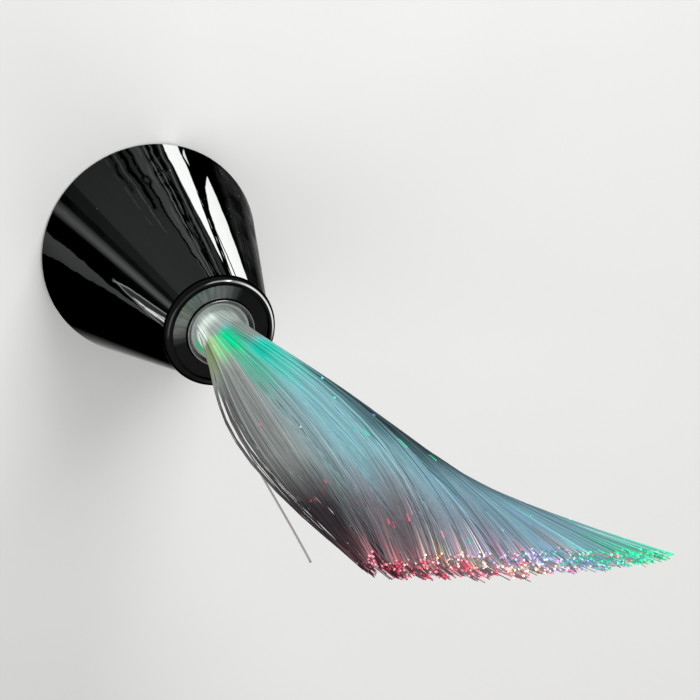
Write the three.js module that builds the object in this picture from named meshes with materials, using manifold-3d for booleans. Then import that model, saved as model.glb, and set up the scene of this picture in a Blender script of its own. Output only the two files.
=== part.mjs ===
// Fiber optic lamp: a polished conical housing on a flat base, with a spray of fine light fibres
// that stands in a socket at the top. Millimetres, +Z up, origin under the centre of the base.

import * as THREE from "three";
import { mergeVertices } from "three/addons/utils/BufferGeometryUtils.js";
import Module from "manifold-3d";

const wasm = await Module();
wasm.setup();

// Shared clearances and roundness
const GAP = 0.3; // between pieces that rest on each other
const CUT = 1; // how far a cut runs past the face it leaves
const RUN = 0.1; // radial clearance of a turning pin
const QUARTER_TURN = 90;
const FINE_SIDES = 48; // facets of the cone and its collar
const BASE_SIDES = 36; // facets of the drum, its cover and the tower
const ROUND_SIDES = 24; // facets of the middling round pieces
const SMALL_SIDES = 12; // facets of feet, pins and cells
const SCREW_SIDES = 8; // facets of screws and their holes

// Housing: a spun cone
const FOOT_STEP = 1.3; // how far the cone's foot stands out past the base ring, its gap and the wall
const CONE_SEAT = 6.4; // flat at the cone's top, round the collar's sleeve
const HOUSING_LIFT = 1; // lower edge above the table
const HOUSING_TOP = 108.5;
const WALL = 1.2;
const SCREW_BOSS_RADIUS = 2.6;
const SCREW_BOSS_TOP = 15;

// Collar round the mouth of the cone
const SHOULDER_OVERHANG = 1.3; // shoulder past the cone's top
const SHOULDER_ROUND = 2.9;
const SHOULDER_RISE = 3.2;
const COLLAR_SKIRT = 2.5;
const COLLAR_LIP = 0.4;
const PLATE_DROP = 1; // top plate below the shoulder's crest
const SLEEVE_WALL = 1.7;
const SLEEVE_LENGTH = 9.8;
const SLEEVE_LIP = 2;
const LEDGE_THICKNESS = 1.7;
const NUT_HEIGHT = 3.5;
const NUT_CORNERS = 6;

// Fibre spray
const BUNDLE_RADIUS = 9.8; // centre of the outermost fibre at the root
const FIBER_LENGTH = 235;
const FIBER_COUNT = 300; // places in the bundle, some of which the cuts of the potting take
const FIBER_THICKNESS_SHARE = 0.33; // radius of a strand as a share of the spacing at the root
const FIBER_STUB = 10; // how far a fibre runs straight up before it leans
const FIBER_SIDES = 3;
const FIBER_STATION_SHARES = [0, 0.24, 0.6, 1]; // stations along a fibre
const FAN_ANGLE = 143.13; // degrees, the way the fan opens, seen from above
const SLICE_CUT_SHARES = [-1, -0.42, 0, 0.42, 1]; // cuts of the potting across the fan
const POTTING_DEPTH = 24.2;
const POTTING_RECESS = 3; // top of the potting below the ferrule's rim
const ROOT_SINK = 0.5; // how deep a strand is rooted in the potting
const FERRULE_WALL = 2.6;
const FERRULE_FLARE = 1.5; // how far the bore opens at the rim, where the fibres lean out
const FERRULE_STEP = 1.2;
const FERRULE_RECESS = 0.3; // ferrule's rim below the collar's top plate
const FERRULE_LENGTH = 29.2;
const FERRULE_FOOT = 1; // inward lip that carries the potting
const RING_CLEARANCE = 1.15;
const RING_WALL = 0.7;
const RING_PROUD = 1.6; // aperture ring above the top plate

// Guide fibres at the left, middle and right of the fan, as shares of the fibre length, [x, y, z] from
// the middle of the bundle's root: where the fibre leans out, its belly and its tip. The bends are
// those of the fibre halfway through the fan's depth, and the lags add what the back of the fan has.
const GUIDES = [
  {
    bends: [
      [0.051, -0.019, 0.284],
      [0.133, -0.195, 0.484],
      [0.055, -0.036, 0.981],
    ],
    lags: [
      [0.012, 0.041, -0.034],
      [0.041, 0.045, -0.071],
      [-0.033, 0.088, -0.007],
    ],
  },
  {
    bends: [
      [-0.016, -0.012, 0.343],
      [-0.082, 0.056, 0.665],
      [-0.091, 0.122, 0.979],
    ],
    lags: [
      [0.054, 0.042, -0.034],
      [0.071, 0.072, -0.047],
      [-0.043, 0.083, -0.011],
    ],
  },
  {
    bends: [
      [-0.019, 0.046, 0.208],
      [-0.025, 0.154, 0.418],
      [-0.284, 0.411, 0.877],
    ],
    lags: [
      [-0.014, 0.001, -0.031],
      [-0.002, 0.025, -0.04],
      [0.004, 0.052, -0.033],
    ],
  },
];
// One fibre has slipped out of the fan on its left side.
const STRAY_ROOT_SHARES = [-0.93, -0.2];
const STRAY_SHARES = [
  [0.096, -0.019, 0.249],
  [0.086, -0.048, 0.517],
  [0.115, -0.057, 0.862],
];

// Colour wheel and its drive
const WHEEL_PITCH_RADIUS = 15;
const WHEEL_TEETH = 30;
const PINION_TEETH = 10;
const GEAR_SLACK = 0.12; // extra distance between the two gear axes
const TOOTH_RISE_SHARES = { tip: 0.85, root: 1.2 }; // in modules, above and below the pitch circle
const TOOTH_WIDTH_SHARES = { tip: 0.2, root: 0.66 }; // of a tooth's pitch
const WHEEL_THICKNESS = 3;
const WHEEL_WEB = 1.4; // thickness of the spokes
const WHEEL_LEDGE = 1.3;
const WHEEL_RIM = 0.9; // rim's wall under the tooth roots
const HUB_RADIUS = 3.4;
const HUB_PROUD = 1;
const SPOKE_WIDTH = 1.8;
const FILTER_THICKNESS = 0.8;
const PIN_RADIUS = 1.4;
const PIN_ROOT = 4;
const CLIP_RADIUS = 2.6;
const CLIP_THICKNESS = 0.5;
const PINION_EXTRA = 0.6;
const SHAFT_RADIUS = 1.2;
const SHAFT_IN_CASE = 3.7;
const CASE_SIZE = [10.4, 12, 9];
const CAN_SIZE = [10, 12, 15];
const CAN_ROUND = 2.6;

// Light tower, from the glass down to the base
const GLASS_THICKNESS = 1.7;
const GLASS_DROP = 1; // glass below the ferrule
const GLASS_MARGIN = 1; // glass radius past the potting
const GLASS_LIP = 1.2;
const TOP_DECK = 2.5;
const TOP_DECK_RADIUS = 25;
const WHEEL_HEADROOM = 0.9; // between the clip and the top deck
const BRIDGE_BOSS = 3.1;
const BRIDGE_BAR = 2;
const BRIDGE_WIDTH = 4.4;
const BRIDGE_OVERLAP = 4.5; // how far the bar's ends lie on the deck
const MID_DECK = 2;
const MID_DECK_RADIUS = 27.5;
const LIGHT_HOLE_RADIUS = 12.4;
const SHAFT_HOLE_RADIUS = 2.6;
const TOWER_DECK = 2.5;
const TOWER_EDGE = 1; // deck past the bosses of its screws
const POST_THICKNESS = 3;
const POST_WIDTH = 15;
const POST_NECK_WIDTH = 10;
const POST_OFFSET = 22;
const REFLECTOR_DEPTH = 19;
const REFLECTOR_MOUTH = 11.9;
const REFLECTOR_THROAT = 4;
const REFLECTOR_WALL = 0.9;
const EMITTER_RADIUS = 3;
const EMITTER_COLLAR = 0.8;
const LED_BOARD_RADIUS = 10;
const LED_BOARD = 1.6;
const COOLER_RADIUS = 12.4;
const FIN_DEPTH = 5.4;
const FIN_COUNT = 12;
const FIN_SHARES = { root: 0.5, tip: 0.28 }; // of a fin's angle

// Control board and leads
const BOARD_SIZE = [17, 22, 1.6];
const BOARD_EDGE = 4; // between the board and the edge of the tower's deck
const BOARD_LIFT = 3;
const BOARD_POST_RADIUS = 2;
const CHIP_SIZE = [6, 6, 1.8];
const CAPACITOR_RADIUS = 3;
const CAPACITOR_HEIGHT = 7;
const LEAD_RADIUS = 0.7;
const LEAD_HOLE_ROOM = 0.5; // round a lead in its hole
const LEAD_SIDES = 5;
const LEAD_STEPS = 9;
const LEAD_HOLE_OFFSET = 4.4; // hole for the cells' lead, off the side of the battery tray

// Base drum with the cell chamber
const FOOT_HEIGHT = 1.7;
const FOOT_RADIUS = 3.2;
const CENTRE_FOOT_RADIUS = 9;
const RIM_RING_HEIGHT = 3.2;
const RIM_EDGE = 0.5; // ring past the recess of a screw's head
const DRUM_WALL = 1.6;
const CHAMBER_HEIGHT = 20;
const DRUM_ROOF = 2.2;
const TOWER_SCREW_ANGLE = 22.5; // clears the corners of the battery tray
const TOWER_BOSS_RADIUS = 3;
const TOWER_BOSS_ROOM = 1.6; // between a boss and the end of the battery tray
const DRUM_ROOM = 2.2; // between a boss and the drum's wall
const TOWER_BOSS_DEPTH = 8;
const SCREW_RADIUS = 1.4;
const SCREW_HEAD_RADIUS = 2.7;
const SCREW_HEAD_HEIGHT = 1.8;
const SCREW_LENGTH = 9;
const SCREW_SLOT = [0.8, 0.7]; // width and depth
const SCREW_COUNT = 4;
const FOOT_COUNT = 4;

// Cells, tray and contacts
const CELL_RADIUS = 7.1;
const CELL_LENGTH = 49.2;
const CELL_BUTTON_RADIUS = 2.7;
const CELL_BUTTON = 1;
const CELL_EDGE = 0.6;
const CELL_COUNT = 3;
const TRAY_WALL = 1.6;
const TRAY_RIB = 0.8;
const TRAY_LIFT = 0.8; // tray above the cover
const CONTACT_ROOM = 1.6; // space behind each end of a cell
const CONTACT_PLATE = 0.5;
const CONTACT_WIDTH = 8;
const CONTACT_HEIGHT = 9;

// Twist-off cover under the chamber
const COVER_THICKNESS = 2.2;
const COVER_LUG_REACH = 1.7;
const COVER_LUG_HEIGHT = 1;
const COVER_LUG_ANGLE = 10;
const COVER_TURN = 25; // degrees from locked to free
const COVER_LUG_COUNT = 3;
const LUG_START_ANGLE = 40;
const GRIP_RADIUS = 5;
const GRIP_DEPTH = 0.8;
const GRIP_OFFSET = 26;

// Push switch in the back of the cone
const SWITCH_RISE = 11; // switch above the tower's deck
const SWITCH_BEZEL_RADIUS = 7.8;
const SWITCH_BEZEL = 1.2;
const SWITCH_BARREL_WALL = 0.9;
const SWITCH_BARREL_SPARE = 1.1; // barrel below the pressed button
const BUTTON_RADIUS = 4.5;
const BUTTON_PROUD = 3;
const BUTTON_FLANGE = 0.7; // keeps the button in its barrel
const BUTTON_FLANGE_THICKNESS = 1.2;
const BUTTON_STEM = 3.6;
const BUTTON_TRAVEL = 1.8;
const BUTTON_ROUND = 0.9;
const SWITCH_NUT_RADIUS = 8.2;
const SWITCH_NUT = 2;
const SWITCH_BODY_SIZE = [13, 11, 6];

// Heights, from the table up
const coverBottom = FOOT_HEIGHT + GAP;
const rimRingTop = coverBottom + RIM_RING_HEIGHT;
const drumCeiling = coverBottom + CHAMBER_HEIGHT;
const drumTop = drumCeiling + DRUM_ROOF;
const towerBottom = drumTop + GAP;
const towerDeckTop = towerBottom + TOWER_DECK;
const switchHeight = towerDeckTop + SWITCH_RISE;

// Heights, from the collar down
const seatHeight = HOUSING_TOP + GAP;
const shoulderCentre = seatHeight + COLLAR_SKIRT;
const plateHeight = shoulderCentre + SHOULDER_RISE - PLATE_DROP;
const sleeveBottom = seatHeight - SLEEVE_LENGTH;
const ringBottom = sleeveBottom + LEDGE_THICKNESS + GAP;
const ferruleTop = plateHeight - FERRULE_RECESS;
const ferruleBottom = ferruleTop - FERRULE_LENGTH;
const pottingTop = ferruleTop - POTTING_RECESS;
const pottingBottom = pottingTop - POTTING_DEPTH;
const glassTop = ferruleBottom - GLASS_DROP;
const glassBottom = glassTop - GLASS_THICKNESS;
const topDeckTop = glassBottom - GAP;
const topDeckBottom = topDeckTop - TOP_DECK;
const pinTop = topDeckBottom - WHEEL_HEADROOM;
const hubTop = pinTop - CLIP_THICKNESS - GAP;
const hubBottom = hubTop - WHEEL_THICKNESS - 2 * HUB_PROUD;
const wheelBottom = hubBottom + HUB_PROUD;
const wheelTop = wheelBottom + WHEEL_THICKNESS;
const bossTop = hubBottom - GAP;
const barTop = bossTop - BRIDGE_BOSS;
const barBottom = barTop - BRIDGE_BAR;
const midDeckTop = barBottom - GAP;
const midDeckBottom = midDeckTop - MID_DECK;
const reflectorTop = midDeckBottom - GAP;
const reflectorBottom = reflectorTop - REFLECTOR_DEPTH;
const ledBoardTop = reflectorBottom - GAP;
const ledBoardBottom = ledBoardTop - LED_BOARD;
const sinkTop = ledBoardBottom - GAP;
const sinkBottom = towerDeckTop + GAP;

// Radii, from the bundle outwards
const fiberSpacing = BUNDLE_RADIUS * Math.sqrt(Math.PI / FIBER_COUNT);
const strandRadius = FIBER_THICKNESS_SHARE * fiberSpacing;
const pottingRadius = BUNDLE_RADIUS + strandRadius;
const ferruleBore = pottingRadius + GAP;
const ferruleRadius = ferruleBore + FERRULE_WALL;
const stemRadius = ferruleRadius - FERRULE_STEP;
const ringBore = ferruleRadius + RING_CLEARANCE;
const ringRadius = ringBore + RING_WALL;
const sleeveBore = ringRadius + GAP;
const sleeveRadius = sleeveBore + SLEEVE_WALL;
const coneTopRadius = sleeveRadius + GAP + CONE_SEAT;
const shoulderRadius = coneTopRadius + SHOULDER_OVERHANG;

// Radii and distances of the gears
const gearModule = (2 * WHEEL_PITCH_RADIUS) / WHEEL_TEETH;
const pinionPitchRadius = (PINION_TEETH * gearModule) / 2;
const motorOffset = WHEEL_PITCH_RADIUS + pinionPitchRadius + GEAR_SLACK;
const wheelRootRadius = WHEEL_PITCH_RADIUS - TOOTH_RISE_SHARES.root * gearModule;
const wheelWindow = wheelRootRadius - WHEEL_RIM;
const pinBore = PIN_RADIUS + RUN;

// Sizes of the cell chamber, across and along
const cellSpan = CELL_LENGTH + CELL_BUTTON;
const channelWidth = 2 * (CELL_RADIUS + GAP);
const channelPitch = channelWidth + TRAY_RIB;
const channelLength = cellSpan + 2 * GAP;
const slotLength = channelLength + 2 * CONTACT_ROOM;
const trayLength = slotLength + 2 * TRAY_WALL;
const trayWidth = (CELL_COUNT - 1) * channelPitch + channelWidth + 2 * TRAY_WALL;
const trayBottom = coverBottom + COVER_THICKNESS + TRAY_LIFT;
const trayTop = drumCeiling - GAP;
const channelTop = trayTop - TRAY_WALL;
const cellHeight = channelTop - GAP - CELL_RADIUS;

// Radii of the base, from the battery tray outwards
const bossPlace = trayLength / 2 + TOWER_BOSS_RADIUS + TOWER_BOSS_ROOM;
const towerScrewCircle = bossPlace / Math.cos(THREE.MathUtils.degToRad(TOWER_SCREW_ANGLE));
const towerRadius = towerScrewCircle + TOWER_BOSS_RADIUS + TOWER_EDGE;
const drumBore = towerScrewCircle + TOWER_BOSS_RADIUS + DRUM_ROOM;
const drumRadius = drumBore + DRUM_WALL;
const flangeScrewCircle = drumRadius + GAP + SCREW_BOSS_RADIUS;
const rimRingRadius = flangeScrewCircle + SCREW_HEAD_RADIUS + GAP + RIM_EDGE;
const baseRadius = rimRingRadius + GAP + WALL + FOOT_STEP;
const boardOffset = towerRadius - BOARD_EDGE - BOARD_SIZE[0] / 2;
const leadHoleSite = [-trayLength / 4, -trayWidth / 2 - LEAD_HOLE_OFFSET];
const barrelBore = BUTTON_RADIUS + BUTTON_FLANGE + GAP;
const barrelRadius = barrelBore + SWITCH_BARREL_WALL;

// Heights of the switch, along its own axis from the cone's outer face
const bezelTop = GAP + SWITCH_BEZEL;
const flangeTop = bezelTop - BUTTON_STEM;
const flangeBottom = flangeTop - BUTTON_FLANGE_THICKNESS;
const barrelBottom = flangeBottom - BUTTON_TRAVEL - SWITCH_BARREL_SPARE;

const FINISHES = {
  chrome: { color: 0x9a9fa1, roughness: 0.08, metalness: 1 },
  steel: { color: 0x8d8f90, roughness: 0.35, metalness: 1 },
  brass: { color: 0xb08d4a, roughness: 0.35, metalness: 1 },
  aluminium: { color: 0xb4b7b9, roughness: 0.4, metalness: 1 },
  fiber: { color: 0xc9d8dc, roughness: 0.15, metalness: 0 },
  ferrule: { color: 0xe6ebe9, roughness: 0.4, metalness: 0 },
  glass: { color: 0xd8e6e4, roughness: 0.05, metalness: 0 },
  moulding: { color: 0x26282a, roughness: 0.5, metalness: 0 },
  white_moulding: { color: 0xd9d9d4, roughness: 0.5, metalness: 0 },
  rubber: { color: 0x1b1b1b, roughness: 0.9, metalness: 0 },
  circuit: { color: 0x1f5a38, roughness: 0.5, metalness: 0 },
  reflector: { color: 0xdfe3e4, roughness: 0.1, metalness: 1 },
  emitter: { color: 0xf4edc4, roughness: 0.3, metalness: 0 },
  cell: { color: 0x3a4650, roughness: 0.4, metalness: 0.3 },
  filter_red: { color: 0xc8202c, roughness: 0.2, metalness: 0 },
  filter_amber: { color: 0xe8b93c, roughness: 0.2, metalness: 0 },
  filter_blue: { color: 0x3a55c8, roughness: 0.2, metalness: 0 },
  filter_green: { color: 0x18a860, roughness: 0.2, metalness: 0 },
  lead: { color: 0x7a1f22, roughness: 0.6, metalness: 0 },
};

// A closed three.js geometry as a solid that can be cut and joined.
function solid(geometry) {
  const bare = geometry.clone();
  bare.deleteAttribute("normal");
  bare.deleteAttribute("uv");
  const merged = mergeVertices(bare, 1e-4);
  const corners = merged.index ? merged.index.array : merged.attributes.position.array.map((_, i) => i);
  const faces = [];
  for (let i = 0; i < corners.length; i += 3) {
    const [a, b, c] = corners.slice(i, i + 3);
    if (a !== b && b !== c && c !== a) faces.push([a, b, c]);
  }
  const build = (list) =>
    new wasm.Manifold(
      new wasm.Mesh({
        numProp: 3,
        vertProperties: merged.attributes.position.array,
        triVerts: new Uint32Array(list.flat()),
      }),
    );
  const made = build(faces);
  return made.volume() < 0 ? build(faces.map(([a, b, c]) => [a, c, b])) : made;
}

function geometryOf(body) {
  const mesh = body.getMesh();
  const geometry = new THREE.BufferGeometry();
  geometry.setAttribute("position", new THREE.BufferAttribute(new Float32Array(mesh.vertProperties), 3));
  geometry.setIndex(new THREE.BufferAttribute(new Uint32Array(mesh.triVerts), 1));
  const faceted = geometry.toNonIndexed();
  faceted.computeVertexNormals();
  return faceted;
}

// A round piece about Z from a profile of [radius, height] points.
function turned(profile, sides) {
  const points = profile.map(([radius, height]) => new THREE.Vector2(radius, height));
  if (profile[0][0] > 0) points.push(points[0].clone());
  const geometry = new THREE.LatheGeometry(points, sides);
  geometry.rotateX(Math.PI / 2);
  return solid(geometry);
}

function tube(inner, outer, bottom, top, sides) {
  const profile = [
    [inner, bottom],
    [outer, bottom],
    [outer, top],
    [inner, top],
  ];
  return turned(profile, sides);
}

function rod(radius, bottom, top, sides, site = [0, 0]) {
  const profile = [
    [0, bottom],
    [radius, bottom],
    [radius, top],
    [0, top],
  ];
  return turned(profile, sides).translate([site[0], site[1], 0]);
}

// An outline of [x, y] points raised from one height to another.
function raised(outline, bottom, top) {
  const shape = new THREE.Shape(outline.map(([x, y]) => new THREE.Vector2(x, y)));
  const geometry = new THREE.ExtrudeGeometry(shape, { depth: top - bottom, bevelEnabled: false });
  geometry.translate(0, 0, bottom);
  return solid(geometry);
}

function block(size, centre, bottom) {
  const [width, depth, height] = size;
  const [x, y] = centre;
  const outline = [
    [x - width / 2, y - depth / 2],
    [x + width / 2, y - depth / 2],
    [x + width / 2, y + depth / 2],
    [x - width / 2, y + depth / 2],
  ];
  return raised(outline, bottom, bottom + height);
}

const polar = (radius, degrees) => [
  radius * Math.cos(THREE.MathUtils.degToRad(degrees)),
  radius * Math.sin(THREE.MathUtils.degToRad(degrees)),
];

// Points of an arc, ends included.
function arc(radius, from, to, steps) {
  return Array.from({ length: steps + 1 }, (_, i) => polar(radius, from + ((to - from) * i) / steps));
}

function ringSector(inner, outer, from, to, steps) {
  return [...arc(outer, from, to, steps), ...arc(inner, from, to, steps).reverse()];
}

const round = (count) => Array.from({ length: count }, (_, i) => (360 * i) / count);

function part(name, body, finish) {
  const material = new THREE.MeshStandardMaterial(FINISHES[finish]);
  const mesh = new THREE.Mesh(geometryOf(body), material);
  mesh.name = name;
  return mesh;
}

function assembly(...pieces) {
  const group = new THREE.Group();
  group.add(...pieces.flat());
  return group;
}

// Housing

const coneSlope = (baseRadius - coneTopRadius) / (HOUSING_TOP - HOUSING_LIFT);
const wallAcross = WALL * Math.hypot(1, coneSlope);
const coneRadius = (height) => baseRadius - coneSlope * (height - HOUSING_LIFT);
const coneBore = (height) => coneRadius(height) - wallAcross;

// The switch sits square to the cone's wall, on the +Y side.
const switchTilt = Math.atan(coneSlope);
const switchPlace = new THREE.Matrix4()
  .makeRotationX(switchTilt - Math.PI / 2)
  .setPosition(0, coneRadius(switchHeight), switchHeight);

function housing() {
  const seat = HOUSING_TOP - WALL;
  const neckBore = sleeveRadius + GAP;
  const hemBore = rimRingRadius + GAP; // the lower edge is turned in to the base
  let cone = turned(
    [
      [hemBore, HOUSING_LIFT],
      [baseRadius, HOUSING_LIFT],
      [coneTopRadius, HOUSING_TOP],
      [neckBore, HOUSING_TOP],
      [neckBore, seat],
      [coneBore(seat), seat],
      [coneBore(HOUSING_LIFT + WALL), HOUSING_LIFT + WALL],
      [hemBore, HOUSING_LIFT + WALL],
    ],
    FINE_SIDES,
  );
  const bossBottom = rimRingTop + GAP;
  const keepIn = turned(
    [
      [0, HOUSING_LIFT],
      [baseRadius - WALL / 2, HOUSING_LIFT],
      [coneRadius(SCREW_BOSS_TOP) - WALL / 2, SCREW_BOSS_TOP],
      [0, SCREW_BOSS_TOP],
    ],
    FINE_SIDES,
  );
  for (const angle of round(SCREW_COUNT)) {
    const site = polar(flangeScrewCircle, angle);
    const boss = rod(SCREW_BOSS_RADIUS, bossBottom, SCREW_BOSS_TOP + CUT, SCREW_SIDES, site);
    cone = cone.add(boss.intersect(keepIn));
  }
  for (const angle of round(SCREW_COUNT)) {
    const site = polar(flangeScrewCircle, angle);
    const hole = rod(SCREW_RADIUS + GAP, bossBottom - CUT, SCREW_BOSS_TOP - WALL, SCREW_SIDES, site);
    cone = cone.subtract(hole);
  }
  const switchHole = rod(barrelRadius + GAP, -barrelRadius, barrelRadius, SMALL_SIDES);
  return part("cone_housing", cone.subtract(switchHole.transform(switchPlace.elements)), "chrome");
}

function collar() {
  const shoulderSteps = 5;
  const startAngle = -Math.asin(COLLAR_SKIRT / SHOULDER_RISE);
  const centre = shoulderRadius - SHOULDER_ROUND;
  const shoulder = Array.from({ length: shoulderSteps + 1 }, (_, i) => {
    const angle = startAngle + ((Math.PI / 2 - startAngle) * i) / shoulderSteps;
    return [centre + SHOULDER_ROUND * Math.cos(angle), shoulderCentre + SHOULDER_RISE * Math.sin(angle)];
  });
  const lipBore = stemRadius + SLEEVE_LIP - GAP;
  const body = turned(
    [
      [lipBore, sleeveBottom],
      [sleeveRadius, sleeveBottom],
      [sleeveRadius, seatHeight],
      ...shoulder,
      [centre - COLLAR_LIP, plateHeight],
      [sleeveBore, plateHeight],
      [sleeveBore, sleeveBottom + LEDGE_THICKNESS],
      [lipBore, sleeveBottom + LEDGE_THICKNESS],
    ],
    FINE_SIDES,
  );
  return part("neck_collar", body, "chrome");
}

function collarNut() {
  const nutTop = HOUSING_TOP - WALL - GAP;
  const nutBottom = nutTop - NUT_HEIGHT;
  const corners = round(NUT_CORNERS).map((angle) => polar(coneBore(nutTop) - 2 * GAP, angle));
  const bore = rod(sleeveRadius + GAP, nutBottom - CUT, nutTop + CUT, ROUND_SIDES);
  return part("collar_nut", raised(corners, nutBottom, nutTop).subtract(bore), "steel");
}

function apertureRing() {
  const top = plateHeight + RING_PROUD;
  const bevel = RING_WALL / 3;
  const body = turned(
    [
      [stemRadius + GAP, ringBottom],
      [ringRadius, ringBottom],
      [ringRadius, top - bevel],
      [ringRadius - bevel, top],
      [ringBore + bevel, top],
      [ringBore, top - bevel],
      [ringBore, ringBottom + LEDGE_THICKNESS],
      [stemRadius + GAP, ringBottom + LEDGE_THICKNESS],
    ],
    ROUND_SIDES,
  );
  return part("aperture_ring", body, "chrome");
}

// Fibre spray

function ferrule() {
  const shelf = ringBottom + LEDGE_THICKNESS + GAP;
  const footBore = pottingRadius - FERRULE_FOOT;
  const body = turned(
    [
      [footBore, ferruleBottom],
      [stemRadius, ferruleBottom],
      [stemRadius, shelf],
      [ferruleRadius, shelf],
      [ferruleRadius, ferruleTop],
      [ferruleBore + FERRULE_FLARE, ferruleTop],
      [ferruleBore, pottingTop],
      [ferruleBore, pottingBottom - GAP],
      [footBore, pottingBottom - GAP],
    ],
    ROUND_SIDES,
  );
  return part("bundle_ferrule", body, "ferrule");
}

const fanAxis = new THREE.Vector2(...polar(1, FAN_ANGLE));
const depthAxis = new THREE.Vector2(fanAxis.y, -fanAxis.x);
const rootCentre = new THREE.Vector3(0, 0, pottingTop - ROOT_SINK);

// From shares across the fan and through its depth to a place on the bundle's root.
function rootPlace(across, depth) {
  const flat = fanAxis.clone().multiplyScalar(across).addScaledVector(depthAxis, depth);
  return new THREE.Vector3(flat.x, flat.y, 0).multiplyScalar(BUNDLE_RADIUS).add(rootCentre);
}

const fromShares = (shares) =>
  new THREE.Vector3(...shares).multiplyScalar(FIBER_LENGTH).add(rootCentre);

// The five control points of the fibre that starts at a place on the root.
function fiberControls(across, depth, ownShares) {
  const root = rootPlace(across, depth);
  const stub = root.clone().setZ(root.z + FIBER_STUB);
  if (ownShares) return [root, stub, ...ownShares.map(fromShares)];
  const weights = [(across * (across - 1)) / 2, 1 - across * across, (across * (across + 1)) / 2];
  const mixed = [0, 1, 2].map((i) => {
    const shares = [0, 1, 2].map((axis) => {
      const share = ({ bends, lags }, g) => weights[g] * (bends[i][axis] + depth * lags[i][axis]);
      return GUIDES.reduce((sum, guide, g) => sum + share(guide, g), 0);
    });
    return fromShares(shares);
  });
  return [root, stub, ...mixed];
}

// Point and direction at a share of a Bezier curve, by repeated halving between its controls.
function curveAt(controls, share) {
  let row = controls;
  while (row.length > 2) row = row.slice(1).map((point, i) => row[i].clone().lerp(point, share));
  const direction = row[1].clone().sub(row[0]).normalize();
  return { place: row[0].clone().lerp(row[1], share), direction };
}

function strand(controls) {
  const places = [];
  for (const share of FIBER_STATION_SHARES) {
    const { place, direction } = curveAt(controls, share);
    const side = new THREE.Vector3(1, 0, 0).addScaledVector(direction, -direction.x).normalize();
    const other = direction.clone().cross(side);
    for (let k = 0; k < FIBER_SIDES; k++) {
      const [u, v] = polar(strandRadius, (360 * k) / FIBER_SIDES);
      places.push(place.clone().addScaledVector(side, u).addScaledVector(other, v));
    }
  }
  const faces = [[2, 1, 0]];
  const stations = FIBER_STATION_SHARES.length;
  for (let i = 0; i + 1 < stations; i++) {
    for (let k = 0; k < FIBER_SIDES; k++) {
      const a = i * FIBER_SIDES + k;
      const b = i * FIBER_SIDES + ((k + 1) % FIBER_SIDES);
      faces.push([a, b, b + FIBER_SIDES], [a, b + FIBER_SIDES, a + FIBER_SIDES]);
    }
  }
  const last = (stations - 1) * FIBER_SIDES;
  faces.push([last, last + 1, last + 2]);
  const geometry = new THREE.BufferGeometry().setFromPoints(places);
  geometry.setIndex(faces.flat());
  return solid(geometry);
}

// A slice of the round potting between two cuts across the fan.
function pottingSlice(fromShare, toShare) {
  const angleAt = (share) => THREE.MathUtils.radToDeg(Math.acos(share));
  const from = Math.max(-1, fromShare + GAP / 2 / pottingRadius);
  const to = Math.min(1, toShare - GAP / 2 / pottingRadius);
  const steps = 6;
  const near = arc(pottingRadius, angleAt(from), angleAt(to), steps);
  const far = arc(pottingRadius, -angleAt(to), -angleAt(from), steps);
  const outline = [...near, ...far].filter(
    ([x, y], i, all) => i === 0 || Math.hypot(x - all[i - 1][0], y - all[i - 1][1]) > RUN,
  );
  const [first, last] = [outline[0], outline[outline.length - 1]];
  if (Math.hypot(first[0] - last[0], first[1] - last[1]) < RUN) outline.pop();
  const placed = outline.map(([across, depth]) => [
    fanAxis.x * across + depthAxis.x * depth,
    fanAxis.y * across + depthAxis.y * depth,
  ]);
  return raised(placed, pottingBottom, pottingTop);
}

function fibers() {
  const goldenAngle = 180 * (3 - Math.sqrt(5));
  const places = Array.from({ length: FIBER_COUNT }, (_, i) =>
    polar(Math.sqrt((i + 0.5) / FIBER_COUNT), i * goldenAngle),
  );
  const lane = (strandRadius + GAP / 2) / BUNDLE_RADIUS;
  const names = ["fiber_fan_left", "fiber_fan_mid_left", "fiber_fan_mid_right", "fiber_fan_right"];
  return names.map((name, i) => {
    const from = SLICE_CUT_SHARES[i];
    const to = SLICE_CUT_SHARES[i + 1];
    const cutPlace = (cut) => (Math.abs(cut) === 1 ? 2 * cut : (cut * pottingRadius) / BUNDLE_RADIUS);
    const [lowest, highest] = [cutPlace(from) + lane, cutPlace(to) - lane];
    const own = places.filter(([across]) => across > lowest && across < highest);
    const [strayAcross, strayDepth] = STRAY_ROOT_SHARES;
    const offset = ([across, depth]) => Math.hypot(across - strayAcross, depth - strayDepth);
    const stray = own.reduce((best, place) => (offset(place) < offset(best) ? place : best));
    const strands = own.map((place) => {
      const shares = i === 0 && place === stray ? STRAY_SHARES : undefined;
      return strand(fiberControls(...place, shares));
    });
    return part(name, wasm.Manifold.union([pottingSlice(from, to), ...strands]), "fiber");
  });
}

// Colour wheel, carried on a fixed pin

function gearOutline(teeth) {
  const pitchRadius = (teeth * gearModule) / 2;
  const pitch = 360 / teeth;
  const tip = pitchRadius + TOOTH_RISE_SHARES.tip * gearModule;
  const root = pitchRadius - TOOTH_RISE_SHARES.root * gearModule;
  return round(teeth).flatMap((angle) => [
    polar(root, angle - (TOOTH_WIDTH_SHARES.root * pitch) / 2),
    polar(tip, angle - (TOOTH_WIDTH_SHARES.tip * pitch) / 2),
    polar(tip, angle + (TOOTH_WIDTH_SHARES.tip * pitch) / 2),
    polar(root, angle + (TOOTH_WIDTH_SHARES.root * pitch) / 2),
  ]);
}

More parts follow.
